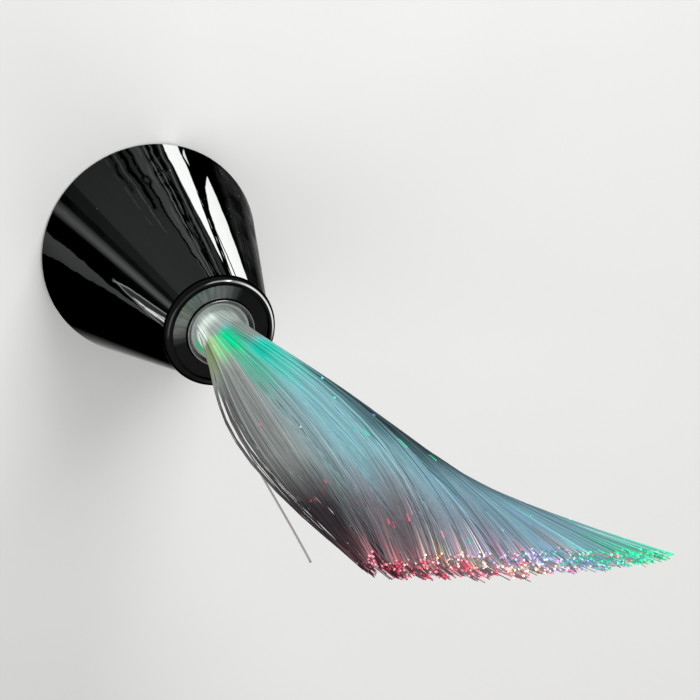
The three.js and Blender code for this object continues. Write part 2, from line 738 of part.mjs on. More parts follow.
function colourWheel() {
  const webTop = wheelBottom + WHEEL_WEB;
  const ledge = wheelWindow - WHEEL_LEDGE;
  let frame = raised(gearOutline(WHEEL_TEETH), wheelBottom, wheelTop)
    .subtract(rod(wheelWindow, webTop, wheelTop + CUT, ROUND_SIDES))
    .subtract(rod(ledge, wheelBottom - CUT, wheelTop + CUT, ROUND_SIDES));
  const spoke = block([2 * (ledge + WHEEL_LEDGE / 2), SPOKE_WIDTH, WHEEL_WEB], [0, 0], wheelBottom);
  const hub = rod(HUB_RADIUS, hubBottom, hubTop, ROUND_SIDES);
  const bore = rod(pinBore, hubBottom - CUT, hubTop + CUT, ROUND_SIDES);
  frame = frame.add(spoke).add(spoke.rotate([0, 0, QUARTER_TURN])).add(hub).subtract(bore);
  const pieces = [part("wheel_frame", frame, "white_moulding")];
  const names = ["filter_green", "filter_red", "filter_amber", "filter_blue"];
  const filterBottom = webTop + GAP;
  const margin = THREE.MathUtils.radToDeg(GAP / HUB_RADIUS);
  names.forEach((name, i) => {
    const from = QUARTER_TURN * i + margin;
    const to = QUARTER_TURN * (i + 1) - margin;
    const outline = ringSector(HUB_RADIUS + GAP, wheelWindow - GAP, from, to, 6);
    pieces.push(part(name, raised(outline, filterBottom, filterBottom + FILTER_THICKNESS), name));
  });
  return pieces;
}

function wheelSupport() {
  const reach = LIGHT_HOLE_RADIUS + BRIDGE_OVERLAP;
  const bar = block([BRIDGE_WIDTH, 2 * reach, BRIDGE_BAR], [0, 0], barBottom);
  const boss = rod(HUB_RADIUS, barTop - BRIDGE_BAR / 2, bossTop, SMALL_SIDES);
  const socket = rod(PIN_RADIUS + GAP, bossTop - PIN_ROOT, bossTop + CUT, SMALL_SIDES);
  const pinBottom = bossTop - PIN_ROOT + GAP;
  const pinBody = rod(PIN_RADIUS, pinBottom, pinTop, SMALL_SIDES);
  const clipBottom = pinTop - CLIP_THICKNESS;
  const clip = tube(PIN_RADIUS + RUN, CLIP_RADIUS, clipBottom, pinTop, SMALL_SIDES);
  return [
    part("wheel_bridge", bar.add(boss).subtract(socket), "steel"),
    part("wheel_pin", pinBody, "steel"),
    part("wheel_clip", clip, "steel"),
  ];
}

function drive() {
  const site = [motorOffset, 0];
  const turn = 180 / PINION_TEETH;
  const caseTop = midDeckBottom - GAP;
  const caseBottom = caseTop - CASE_SIZE[2];
  const toothBottom = wheelBottom - PINION_EXTRA / 2;
  const toothTop = wheelTop + PINION_EXTRA / 2;
  const shaft = rod(SHAFT_RADIUS, caseTop - SHAFT_IN_CASE, toothTop + PINION_EXTRA, SMALL_SIDES);
  const pinion = raised(gearOutline(PINION_TEETH), toothBottom, toothTop)
    .add(shaft)
    .rotate([0, 0, turn])
    .translate([motorOffset, 0, 0]);
  const bearing = rod(SHAFT_RADIUS + RUN, caseTop - SHAFT_IN_CASE - GAP, caseTop + CUT, ROUND_SIDES, site);
  const gearCase = block(CASE_SIZE, site, caseBottom).subtract(bearing);
  const [width, depth, length] = CAN_SIZE;
  const canTop = caseBottom - GAP;
  const half = width / 2;
  const canOutline = [
    [-half, -depth / 2 + CAN_ROUND],
    [-half + CAN_ROUND, -depth / 2],
    [half - CAN_ROUND, -depth / 2],
    [half, -depth / 2 + CAN_ROUND],
    [half, depth / 2 - CAN_ROUND],
    [half - CAN_ROUND, depth / 2],
    [-half + CAN_ROUND, depth / 2],
    [-half, depth / 2 - CAN_ROUND],
  ].map(([x, y]) => [x + motorOffset, y]);
  return [
    part("drive_pinion", pinion, "brass"),
    part("gear_case", gearCase, "brass"),
    part("motor_can", raised(canOutline, canTop - length, canTop), "steel"),
  ];
}

// Light tower

function tower() {
  const deckHole = (radius, sides, site) =>
    rod(radius, towerBottom - CUT, towerDeckTop + CUT, sides, site);
  let body = rod(towerRadius, towerBottom, towerDeckTop, BASE_SIDES);
  const shoulder = midDeckBottom - GAP;
  const glassRadius = pottingRadius + GLASS_MARGIN;
  const lipBore = glassRadius + GAP;
  const lip = tube(lipBore, lipBore + GLASS_LIP, topDeckTop - CUT, glassTop, ROUND_SIDES);
  const topDeck = rod(TOP_DECK_RADIUS, topDeckBottom, topDeckTop, ROUND_SIDES)
    .add(lip)
    .subtract(rod(pottingRadius, topDeckBottom - CUT, topDeckTop + CUT, ROUND_SIDES));
  for (const side of [-1, 1]) {
    const site = [0, side * POST_OFFSET];
    const lowRise = shoulder - towerDeckTop + CUT;
    const highRise = topDeckBottom - shoulder + 2 * CUT;
    const low = block([POST_WIDTH, POST_THICKNESS, lowRise], site, towerDeckTop - CUT);
    const high = block([POST_NECK_WIDTH, POST_THICKNESS, highRise], site, shoulder - CUT);
    body = body.add(low).add(high);
    const postSite = [-boardOffset, (side * BOARD_SIZE[1]) / 3];
    const postTop = towerDeckTop + BOARD_LIFT;
    body = body.add(rod(BOARD_POST_RADIUS, towerDeckTop - CUT, postTop, SMALL_SIDES, postSite));
  }
  body = body.add(topDeck);
  for (const angle of round(SCREW_COUNT)) {
    const site = polar(towerScrewCircle, angle + TOWER_SCREW_ANGLE);
    body = body.subtract(deckHole(SCREW_RADIUS + GAP, SCREW_SIDES, site));
  }
  body = body.subtract(deckHole(LEAD_RADIUS + LEAD_HOLE_ROOM, SMALL_SIDES, leadHoleSite));
  const glass = rod(glassRadius, glassBottom, glassTop, ROUND_SIDES);
  return [part("light_tower", body, "moulding"), part("window_glass", glass, "glass")];
}

function midDeck() {
  const notch = (side) =>
    block(
      [POST_NECK_WIDTH + 2 * GAP, POST_THICKNESS + 2 * GAP, MID_DECK + 2 * CUT],
      [0, side * POST_OFFSET],
      midDeckBottom - CUT,
    );
  const body = rod(MID_DECK_RADIUS, midDeckBottom, midDeckTop, ROUND_SIDES)
    .subtract(rod(LIGHT_HOLE_RADIUS, midDeckBottom - CUT, midDeckTop + CUT, ROUND_SIDES))
    .subtract(rod(SHAFT_HOLE_RADIUS, midDeckBottom - CUT, midDeckTop + CUT, SMALL_SIDES, [motorOffset, 0]))
    .subtract(notch(1))
    .subtract(notch(-1));
  return part("mid_deck", body, "steel");
}

function lightSource() {
  const reflectorSteps = 2;
  const curve = Array.from({ length: reflectorSteps + 1 }, (_, i) => {
    const share = i / reflectorSteps;
    const bulge = Math.sqrt(share);
    return [
      REFLECTOR_THROAT + (REFLECTOR_MOUTH - REFLECTOR_THROAT) * bulge,
      reflectorBottom + REFLECTOR_DEPTH * share,
    ];
  });
  const outer = curve.map(([radius, height]) => [radius + REFLECTOR_WALL, height]);
  const reflector = turned([...outer, ...curve.reverse()], ROUND_SIDES);
  const domeSteps = 3;
  const domeBase = ledBoardTop + GAP + EMITTER_COLLAR;
  const dome = Array.from({ length: domeSteps + 1 }, (_, i) => {
    const [across, up] = polar(EMITTER_RADIUS, (QUARTER_TURN * i) / domeSteps);
    return [i === domeSteps ? 0 : across, domeBase + up];
  });
  const emitterFoot = ledBoardTop + GAP;
  const emitter = turned([[0, emitterFoot], [EMITTER_RADIUS, emitterFoot], ...dome], SMALL_SIDES);
  const finAngle = 360 / FIN_COUNT;
  const sinkOutline = round(FIN_COUNT).flatMap((angle) => [
    polar(COOLER_RADIUS - FIN_DEPTH, angle - (finAngle * FIN_SHARES.root) / 2),
    polar(COOLER_RADIUS, angle - (finAngle * FIN_SHARES.tip) / 2),
    polar(COOLER_RADIUS, angle + (finAngle * FIN_SHARES.tip) / 2),
    polar(COOLER_RADIUS - FIN_DEPTH, angle + (finAngle * FIN_SHARES.root) / 2),
  ]);
  return [
    part("reflector", reflector, "reflector"),
    part("led_emitter", emitter, "emitter"),
    part("led_board", rod(LED_BOARD_RADIUS, ledBoardBottom, ledBoardTop, ROUND_SIDES), "aluminium"),
    part("heat_sink", raised(sinkOutline, sinkBottom, sinkTop), "aluminium"),
  ];
}

// Control board and the leads that join it to the rest

const boardBottom = towerDeckTop + BOARD_LIFT + GAP;
const boardTop = boardBottom + BOARD_SIZE[2];

function controlBoard() {
  const [width, depth] = BOARD_SIZE;
  const capacitorSite = [-boardOffset - width / 5, depth / 4];
  const body = block(BOARD_SIZE, [-boardOffset, 0], boardBottom)
    .add(block(CHIP_SIZE, [-boardOffset, -depth / 6], boardTop - RUN))
    .add(rod(CAPACITOR_RADIUS, boardTop - RUN, boardTop + CAPACITOR_HEIGHT, SMALL_SIDES, capacitorSite));
  return part("control_board", body, "circuit");
}

function lead(name, points) {
  const path = new THREE.CatmullRomCurve3(points.map((point) => new THREE.Vector3(...point)));
  const section = new THREE.Shape(
    round(LEAD_SIDES).map((angle) => new THREE.Vector2(...polar(LEAD_RADIUS, angle))),
  );
  const geometry = new THREE.ExtrudeGeometry(section, {
    steps: LEAD_STEPS,
    extrudePath: path,
    bevelEnabled: false,
  });
  return part(name, solid(geometry), "lead");
}

function leads() {
  const [width, depth] = BOARD_SIZE;
  const boardEdge = -boardOffset + width / 2;
  const pad = LEAD_RADIUS + GAP;
  const onBoard = boardTop + pad;
  const canBottom = midDeckBottom - 2 * GAP - CASE_SIZE[2] - CAN_SIZE[2];
  const [holeX, holeY] = leadHoleSite;
  const [bodyWidth, , bodyDepth] = SWITCH_BODY_SIZE;
  const terminal = new THREE.Vector3(-bodyWidth / 2 - pad, 0, barrelBottom - GAP - bodyDepth / 2);
  terminal.applyMatrix4(switchPlace);
  const lowRun = towerDeckTop + 3 * pad;
  return [
    lead("lead_light", [
      [boardEdge - pad, depth / 4, onBoard],
      [boardEdge + pad, depth / 4, onBoard + 2 * pad],
      [-COOLER_RADIUS - 2 * pad, depth / 5, (onBoard + ledBoardTop) / 2],
      [-COOLER_RADIUS - pad, depth / 6, ledBoardTop],
      [-LED_BOARD_RADIUS + pad, depth / 8, ledBoardTop + pad],
    ]),
    lead("lead_motor", [
      [boardEdge - pad, -depth / 3, onBoard],
      [boardEdge + 3 * pad, -depth / 2, onBoard + pad],
      [0, -COOLER_RADIUS - 3 * pad, lowRun],
      [COOLER_RADIUS, -COOLER_RADIUS, lowRun],
      [motorOffset, -CAN_SIZE[1] / 3, (lowRun + canBottom) / 2],
      [motorOffset, -CAN_SIZE[1] / 4, canBottom - pad],
    ]),
    lead("lead_switch", [
      [-boardOffset + width / 4, depth / 2 - pad, onBoard],
      [-boardOffset + width / 3, depth / 2 + 3 * pad, onBoard + pad],
      [terminal.x - width / 2, terminal.y - 3 * pad, (onBoard + terminal.z) / 2],
      [terminal.x - 3 * pad, terminal.y, terminal.z],
      terminal.toArray(),
    ]),
    lead("lead_cells", [
      [holeX, holeY, channelTop],
      [holeX, holeY, (drumTop + channelTop) / 2],
      [holeX, holeY, towerDeckTop + pad],
      [(holeX - boardOffset) / 2, (holeY - depth / 2) / 2, onBoard + pad],
      [-boardOffset, -depth / 2 + pad, onBoard],
    ]),
  ];
}

// Base

function screw(name, site, headBottom, pointsUp) {
  const sign = pointsUp ? 1 : -1;
  const [slotWidth, slotDepth] = SCREW_SLOT;
  const body = turned(
    [
      [0, 0],
      [SCREW_HEAD_RADIUS, 0],
      [SCREW_HEAD_RADIUS, SCREW_HEAD_HEIGHT],
      [SCREW_RADIUS, SCREW_HEAD_HEIGHT],
      [SCREW_RADIUS, SCREW_HEAD_HEIGHT + SCREW_LENGTH],
      [0, SCREW_HEAD_HEIGHT + SCREW_LENGTH],
    ],
    SCREW_SIDES,
  ).subtract(block([3 * SCREW_HEAD_RADIUS, slotWidth, slotDepth + CUT], [0, 0], -CUT));
  const placed = pointsUp ? body : body.rotate([180, 0, 0]);
  return part(name, placed.translate([...site, headBottom + (sign < 0 ? SCREW_HEAD_HEIGHT : 0)]), "steel");
}

// Where the cover's lugs lie when it is locked.
const lugAngles = round(COVER_LUG_COUNT).map((angle) => angle + LUG_START_ANGLE);
const lugBottom = coverBottom + COVER_THICKNESS - COVER_LUG_HEIGHT;
const coverRadius = drumBore - GAP;
const lugRadius = coverRadius + COVER_LUG_REACH;

function baseDrum() {
  const floor = drumCeiling - TOWER_BOSS_DEPTH;
  let body = turned(
    [
      [0, drumCeiling],
      [drumBore, drumCeiling],
      [drumBore, coverBottom],
      [rimRingRadius, coverBottom],
      [rimRingRadius, rimRingTop],
      [drumRadius, rimRingTop],
      [drumRadius, drumTop],
      [0, drumTop],
    ],
    BASE_SIDES,
  );
  for (const angle of round(SCREW_COUNT)) {
    const towerSite = polar(towerScrewCircle, angle + TOWER_SCREW_ANGLE);
    body = body.add(rod(TOWER_BOSS_RADIUS, floor, drumCeiling + CUT, SCREW_SIDES, towerSite));
    body = body.subtract(rod(SCREW_RADIUS + GAP, floor - CUT, drumTop + CUT, SCREW_SIDES, towerSite));
    const site = polar(flangeScrewCircle, angle);
    const recess = SCREW_HEAD_HEIGHT + GAP;
    body = body
      .subtract(rod(SCREW_RADIUS + GAP, coverBottom - CUT, rimRingTop + CUT, SCREW_SIDES, site))
      .subtract(rod(SCREW_HEAD_RADIUS + GAP, coverBottom - CUT, coverBottom + recess, SCREW_SIDES, site));
  }
  const slack = THREE.MathUtils.radToDeg(2 * GAP / coverRadius);
  for (const angle of lugAngles) {
    const lugEnd = angle + COVER_LUG_ANGLE + slack;
    const track = ringSector(drumBore - CUT, lugRadius + GAP, angle - slack, lugEnd + COVER_TURN, 8);
    const entryStart = angle - slack + COVER_TURN;
    const entry = ringSector(drumBore - CUT, lugRadius + GAP, entryStart, lugEnd + COVER_TURN, 4);
    const trackTop = lugBottom + COVER_LUG_HEIGHT + GAP;
    body = body
      .subtract(raised(track, lugBottom - GAP, trackTop))
      .subtract(raised(entry, coverBottom - CUT, trackTop));
  }
  const leadBore = LEAD_RADIUS + LEAD_HOLE_ROOM;
  const leadHole = rod(leadBore, drumCeiling - CUT, drumTop + CUT, SMALL_SIDES, leadHoleSite);
  return part("base_drum", body.subtract(leadHole), "moulding");
}

function cover() {
  let body = rod(coverRadius, coverBottom, coverBottom + COVER_THICKNESS, BASE_SIDES);
  for (const angle of lugAngles) {
    const lug = ringSector(coverRadius - CUT, lugRadius, angle, angle + COVER_LUG_ANGLE, 3);
    body = body.add(raised(lug, lugBottom, lugBottom + COVER_LUG_HEIGHT));
  }
  for (const side of [-1, 1]) {
    const site = [side * GRIP_OFFSET, 0];
    body = body.subtract(rod(GRIP_RADIUS, coverBottom - CUT, coverBottom + GRIP_DEPTH, SMALL_SIDES, site));
  }
  return [
    part("battery_cover", body, "moulding"),
    part("centre_foot", rod(CENTRE_FOOT_RADIUS, 0, FOOT_HEIGHT, ROUND_SIDES), "rubber"),
  ];
}

function fixings() {
  const footCircle = (drumBore + rimRingRadius) / 2 + GAP;
  const screwFoot = coverBottom + GAP;
  const towerHead = towerDeckTop + GAP;
  const baseScrews = round(SCREW_COUNT).map((angle, i) =>
    screw(`base_screw_${i + 1}`, polar(flangeScrewCircle, angle), screwFoot - GAP, true),
  );
  const towerScrews = round(SCREW_COUNT).map((angle, i) =>
    screw(`tower_screw_${i + 1}`, polar(towerScrewCircle, angle + TOWER_SCREW_ANGLE), towerHead, false),
  );
  const feet = round(FOOT_COUNT).map((angle, i) =>
    part(
      `rubber_foot_${i + 1}`,
      rod(FOOT_RADIUS, 0, FOOT_HEIGHT, SMALL_SIDES, polar(footCircle, angle + 45)),
      "rubber",
    ),
  );
  return [...baseScrews, ...towerScrews, ...feet];
}

// Cells

function cells() {
  const edge = CELL_EDGE;
  const profile = [
    [0, 0],
    [CELL_RADIUS - edge, 0],
    [CELL_RADIUS, edge],
    [CELL_RADIUS, CELL_LENGTH - edge],
    [CELL_RADIUS - edge, CELL_LENGTH],
    [CELL_BUTTON_RADIUS, CELL_LENGTH],
    [CELL_BUTTON_RADIUS, cellSpan],
    [0, cellSpan],
  ];
  return Array.from({ length: CELL_COUNT }, (_, i) => {
    const row = (i - (CELL_COUNT - 1) / 2) * channelPitch;
    const facing = i % 2 === 0 ? 1 : -1;
    const body = turned(profile, SMALL_SIDES)
      .translate([0, 0, -cellSpan / 2])
      .rotate([0, facing * QUARTER_TURN, 0])
      .translate([0, row, cellHeight]);
    return part(`cell_${i + 1}`, body, "cell");
  });
}

function cellTray() {
  let body = block([trayLength, trayWidth, trayTop - trayBottom], [0, 0], trayBottom);
  const depth = channelTop - trayBottom + CUT;
  for (let i = 0; i < CELL_COUNT; i++) {
    const row = (i - (CELL_COUNT - 1) / 2) * channelPitch;
    body = body.subtract(block([channelLength, channelWidth, depth], [0, row], trayBottom - CUT));
  }
  const slotWidth = trayWidth - 2 * TRAY_WALL;
  for (const side of [-1, 1]) {
    const centre = (side * (channelLength + CONTACT_ROOM)) / 2;
    body = body.subtract(block([CONTACT_ROOM + RUN, slotWidth, depth], [centre, 0], trayBottom - CUT));
  }
  return part("battery_tray", body, "moulding");
}

// Contact strips: at each end one strip joins two cells and one serves a single cell.
function contacts() {
  const strip = (name, side, rows) => {
    const plateOuter = slotLength / 2 - GAP;
    const plateInner = plateOuter - CONTACT_PLATE;
    const middle = (plateOuter + plateInner) / 2;
    const touch = cellSpan / 2 + GAP;
    const low = cellHeight - CONTACT_HEIGHT / 2;
    const from = Math.min(...rows) * channelPitch - CONTACT_WIDTH / 2;
    const to = Math.max(...rows) * channelPitch + CONTACT_WIDTH / 2;
    const plate = block([CONTACT_PLATE, to - from, CONTACT_HEIGHT], [middle, (from + to) / 2], low);
    const nubs = rows.map((row) => {
      const width = plateInner - touch + RUN;
      const site = [touch + width / 2, row * channelPitch];
      const nubBottom = cellHeight - CELL_BUTTON_RADIUS / 2;
      return block([width, CELL_BUTTON_RADIUS, CELL_BUTTON_RADIUS], site, nubBottom);
    });
    const body = nubs.reduce((sum, nub) => sum.add(nub), plate);
    return part(name, side < 0 ? body.rotate([0, 0, 180]) : body, "brass");
  };
  return [
    strip("contact_right_pair", 1, [0, 1]),
    strip("contact_right_single", 1, [-1]),
    strip("contact_left_pair", -1, [0, 1]),
    strip("contact_left_single", -1, [-1]),
  ];
}

// Switch, built along its own axis with the wall's outer face at height zero

function pushSwitch() {
  const bore = BUTTON_RADIUS + GAP;
  const edge = SWITCH_BEZEL / 3;
  const bezel = turned(
    [
      [barrelBore, barrelBottom],
      [barrelRadius, barrelBottom],
      [barrelRadius, GAP],
      [SWITCH_BEZEL_RADIUS, GAP],
      [SWITCH_BEZEL_RADIUS, bezelTop - edge],
      [SWITCH_BEZEL_RADIUS - edge, bezelTop],
      [bore, bezelTop],
      [bore, flangeTop + GAP],
      [barrelBore, flangeTop + GAP],
    ],
    ROUND_SIDES,
  );
  const buttonTop = bezelTop + BUTTON_PROUD;
  const button = turned(
    [
      [0, flangeBottom],
      [BUTTON_RADIUS + BUTTON_FLANGE, flangeBottom],
      [BUTTON_RADIUS + BUTTON_FLANGE, flangeTop],
      [BUTTON_RADIUS, flangeTop],
      [BUTTON_RADIUS, buttonTop - BUTTON_ROUND],
      [BUTTON_RADIUS - BUTTON_ROUND / 3, buttonTop - BUTTON_ROUND / 3],
      [BUTTON_RADIUS - BUTTON_ROUND, buttonTop],
      [0, buttonTop],
    ],
    ROUND_SIDES,
  );
  const nutTop = -WALL - GAP - SWITCH_NUT_RADIUS ** 2 / 2 / coneRadius(switchHeight);
  const nutRing = tube(barrelRadius + GAP, SWITCH_NUT_RADIUS, nutTop - SWITCH_NUT, nutTop, SMALL_SIDES);
  const bodyTop = barrelBottom - GAP;
  const [width, height, depth] = SWITCH_BODY_SIZE;
  const body = block([width, height, depth], [0, 0], bodyTop - depth);
  const group = assembly(
    part("switch_bezel", bezel, "chrome"),
    part("switch_button", button, "moulding"),
    part("switch_nut", nutRing, "steel"),
    part("switch_body", body, "moulding"),
  );
  group.applyMatrix4(switchPlace);
  return group;
}

const lamp = assembly(
  assembly(housing(), collar(), collarNut(), apertureRing()),
  assembly(ferrule(), fibers()),
  assembly(tower(), midDeck(), wheelSupport(), lightSource()),
  assembly(colourWheel(), drive()),
  assembly(controlBoard(), leads()),
  assembly(baseDrum(), fixings(), cover()),
  assembly(cellTray(), cells(), contacts()),
  pushSwitch(),
);
lamp.name = "fiber_optic_lamp";

export default lamp;
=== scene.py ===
"""Looks of a fibre optic lamp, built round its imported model.

Sizes in the classes are millimetres and meshes are metres. +Z is up and the origin lies under the
middle of the base. Angles round the lamp start at the side nearest the camera, -Y, and run to +X.
"""

import logging
import math
import random
from collections.abc import Iterable, Mapping, Sequence
from dataclasses import dataclass
from enum import Enum
from typing import Any

import bmesh
import bpy
from mathutils import Matrix, Vector


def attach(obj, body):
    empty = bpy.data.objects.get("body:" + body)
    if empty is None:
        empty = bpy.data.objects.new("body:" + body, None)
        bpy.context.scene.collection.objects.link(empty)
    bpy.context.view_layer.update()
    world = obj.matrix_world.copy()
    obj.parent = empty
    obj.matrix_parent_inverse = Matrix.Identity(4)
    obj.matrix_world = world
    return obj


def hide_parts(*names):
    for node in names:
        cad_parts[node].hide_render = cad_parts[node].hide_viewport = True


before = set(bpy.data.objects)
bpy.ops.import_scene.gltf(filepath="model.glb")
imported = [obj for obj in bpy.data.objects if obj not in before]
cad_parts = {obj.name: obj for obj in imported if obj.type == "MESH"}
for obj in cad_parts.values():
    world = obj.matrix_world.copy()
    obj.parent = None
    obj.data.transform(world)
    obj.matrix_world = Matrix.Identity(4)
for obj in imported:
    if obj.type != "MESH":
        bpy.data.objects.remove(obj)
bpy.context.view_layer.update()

log = logging.getLogger("lamp")

MM = 0.001
TINY = 1e-9
SHARP_ANGLE = 32.0
MERGE_DISTANCE = 0.002
FLAT_ANGLE = 0.5
SIDE_SHARE = 0.48
ROUNDED_ANGLE = 34.0

Colour = tuple[float, float, float]
Triple = tuple[float, float, float]
Limits = tuple[float, float, float, float]
Point = tuple[float, float]
Span = tuple[float, float]
Term = "Socket | float"


class Body(str, Enum):
    """The bodies that pieces ride on."""

    HOUSING = "housing"
    SPRAY = "fiber_spray"
    WHEEL = "colour_wheel"
    PINION = "motor_pinion"
    COVER = "base_cover"
    BUTTON = "push_button"


class Slot(str, Enum):
    """The record's material slots."""

    CHROME = "chrome"
    STEEL = "steel"
    BRASS = "brass"
    ALUMINIUM = "aluminium"
    FIBER = "fiber"
    FERRULE = "ferrule"
    GLASS = "glass"
    MOULDING = "moulding"
    WHITE_MOULDING = "white_moulding"
    RUBBER = "rubber"
    CIRCUIT = "circuit"
    REFLECTOR = "reflector"
    EMITTER = "emitter"
    CELL = "cell"
    FILTER_RED = "filter_red"
    FILTER_AMBER = "filter_amber"
    FILTER_BLUE = "filter_blue"
    FILTER_GREEN = "filter_green"
    LEAD = "lead"


def screen(red: int, green: int, blue: int) -> Colour:
    """A colour as it looks on screen, 0 to 255, in linear values."""
    low_end = 0.04045

    def channel(value: int) -> float:
        """One channel in linear values."""
        share = value / 255
        return share / 12.92 if share <= low_end else ((share + 0.055) / 1.055) ** 2.4

    return channel(red), channel(green), channel(blue)


def mixed(first: Colour, second: Colour, share: float) -> Colour:
    """The colour that lies at a share of the way from the first to the second."""
    return tuple(a + (b - a) * share for a, b in zip(first, second))


def grey(value: float) -> Colour:
    """A neutral colour in linear values."""
    return value, value, value


UNLIT = grey(0.0)


def smooth(low: float, high: float, value: float) -> float:
    """An S-shaped rise from 0 at low to 1 at high; low may lie above high."""
    share = min(1.0, max(0.0, (value - low) / (high - low)))
    return share * share * (3 - 2 * share)


def window(limits: Limits, value: float) -> float:
    """A rise from 0 at the first limit to 1 at the second, and a fall from the third to the last."""
    start, full, fade, end = limits
    return smooth(start, full, value) * smooth(end, fade, value)


# Node graphs


class Socket:
    """A number, colour or vector that flows between nodes; numbers take part in arithmetic."""

    def __init__(self, graph: "Graph", socket: bpy.types.NodeSocket) -> None:
        """Wraps a node's output."""
        self.graph = graph
        self.socket = socket

    def math(self, operation: str, *terms: Term) -> "Socket":
        """A Math node on the given terms."""
        return self.graph.node("ShaderNodeMath", {"operation": operation}, dict(enumerate(terms)))

    def __add__(self, other: Term) -> "Socket":
        """Sum."""
        return self.math("ADD", self, other)

    def __radd__(self, other: Term) -> "Socket":
        """Sum, with the number first."""
        return self.math("ADD", other, self)

    def __sub__(self, other: Term) -> "Socket":
        """Difference."""
        return self.math("SUBTRACT", self, other)

    def __rsub__(self, other: Term) -> "Socket":
        """Difference, with the number first."""
        return self.math("SUBTRACT", other, self)

    def __mul__(self, other: Term) -> "Socket":
        """Product."""
        return self.math("MULTIPLY", self, other)

    def __rmul__(self, other: Term) -> "Socket":
        """Product, with the number first."""
        return self.math("MULTIPLY", other, self)

    def __truediv__(self, other: Term) -> "Socket":
        """Quotient."""
        return self.math("DIVIDE", self, other)

    def __pow__(self, other: Term) -> "Socket":
        """Power."""
        return self.math("POWER", self, other)

    def __abs__(self) -> "Socket":
        """Size without its sign."""
        return self.math("ABSOLUTE", self)

    def ramped(self, low: Term, high: Term) -> "Socket":
        """A smooth rise from 0 at low to 1 at high."""
        inputs = {"Value": self, "From Min": low, "From Max": high}
        return self.graph.node("ShaderNodeMapRange", {"interpolation_type": "SMOOTHSTEP"}, inputs)

    def between(self, start: Term, full: Term, fade: Term, end: Term) -> "Socket":
        """A rise from 0 at start to 1 at full, and a fall from fade to 0 at end."""
        return self.ramped(start, full) * self.ramped(end, fade)


class Graph:
    """A node tree that is built in code."""

    def __init__(self, tree: bpy.types.NodeTree) -> None:
        """Starts from an empty tree."""
        self.tree = tree
        tree.nodes.clear()

    def node(
        self,
        kind: str,
        settings: Mapping[str, Any] | None = None,
        inputs: Mapping[int | str, Any] | None = None,
        output: int = 0,
    ) -> Socket:
        """Adds a node.

        Args:
            kind: the node's type.
            settings: its own properties, and "stops" for the stops of a ramp.
            inputs: values or links of its sockets, by name or number.
            output: number of the output to return.

        Returns:
            That output, or None where the node has no output.
        """
        made = self.tree.nodes.new(kind)
        for name, value in (settings or {}).items():
            if name == "stops":
                self._stops(made.color_ramp, value)
            else:
                setattr(made, name, value)
        for key, value in (inputs or {}).items():
            target = made.inputs[key]
            if isinstance(value, Socket):
                self.tree.links.new(value.socket, target)
            elif target.type == "RGBA" and len(value) == 3:
                target.default_value = (*value, 1.0)
            else:
                target.default_value = value
        return Socket(self, made.outputs[output]) if len(made.outputs) > output else None

    @staticmethod
    def _stops(ramp: bpy.types.ColorRamp, stops: Sequence[tuple[float, Colour]]) -> None:
        """Sets a ramp's stops."""
        while len(ramp.elements) < len(stops):
            ramp.elements.new(1.0)
        for element, (place, colour) in zip(ramp.elements, sorted(stops)):
            element.position = place
            element.color = (*colour, 1.0)


class Shader(Graph):
    """A material's graph."""

    def __init__(self, name: str) -> None:
        """Makes a material of that name."""
        self.material = bpy.data.materials.new(name)
        self.material.use_nodes = True
        super().__init__(self.material.node_tree)

    def place(self) -> Socket:
        """The point on the object, in metres."""
        return self.node("ShaderNodeTexCoord", output=3)

    def millimetres(self) -> tuple[Socket, Socket, Socket]:
        """The three coordinates of the point, in millimetres."""
        place = self.place()
        return tuple(self.node("ShaderNodeSeparateXYZ", None, {0: place}, i) / MM for i in range(3))

    def vector(self, x: Term, y: Term, z: Term) -> Socket:
        """A vector from three numbers."""
        return self.node("ShaderNodeCombineXYZ", None, {0: x, 1: y, 2: z})

    def angle(self, x: Socket, y: Socket) -> Socket:
        """Degrees round the lamp."""
        return x.math("ARCTAN2", x, 0 - y) * math.degrees(1)

    def noise(self, vector: Socket, scale: float, detail: float = 2.0) -> Socket:
        """Noise from 0 to 1, round 0.5."""
        return self.node("ShaderNodeTexNoise", None, {"Vector": vector, "Scale": scale, "Detail": detail})

    def cloud(self, scale: float, detail: float = 3.0) -> Socket:
        """Noise on the object's own coordinates."""
        return self.noise(self.place(), scale, detail)

    def laid(self, first: Socket, second: Socket, layout: Triple, scale: float, detail: float) -> Socket:
        """Noise on two coordinates, each with a factor of its own; the third number picks the pattern."""
        across, along, pattern = layout
        return self.noise(self.vector(first * across, second * along, pattern), scale, detail)

    def stretched(self, factors: Triple, scale: float, detail: float) -> Socket:
        """Noise on object coordinates that are stretched along each axis."""
        inputs = {0: self.place(), 1: factors}
        return self.noise(self.node("ShaderNodeVectorMath", {"operation": "MULTIPLY"}, inputs), scale, detail)

    def mix(self, share: Term, first: Socket | Colour, second: Socket | Colour) -> Socket:
        """A colour between two."""
        return self.node("ShaderNodeMix", {"data_type": "RGBA"}, {0: share, 6: first, 7: second}, 2)

    def tinted(self, value: Term, colour: Socket | Colour) -> Socket:
        """A number as a colour: black at 0 and the given colour at 1."""
        return self.mix(value, UNLIT, colour)

    def attribute(self, name: str) -> Socket:
        """A mesh attribute."""
        return self.node("ShaderNodeAttribute", {"attribute_name": name})

    def bump(self, height: Socket, depth: float) -> Socket:
        """A normal tilted by a height of so many millimetres."""
        inputs = {"Strength": 1.0, "Distance": depth * MM, "Height": height}
        return self.node("ShaderNodeBump", None, inputs)

    def surface(self, **values: Any) -> bpy.types.Material:
        """Ends the graph in a Principled surface; underscores stand for spaces in socket names."""
        inputs = {name.replace("_", " "): value for name, value in values.items()}
        shader = self.node("ShaderNodeBsdfPrincipled", None, inputs)
        self.node("ShaderNodeOutputMaterial", None, {"Surface": shader})
        return self.material


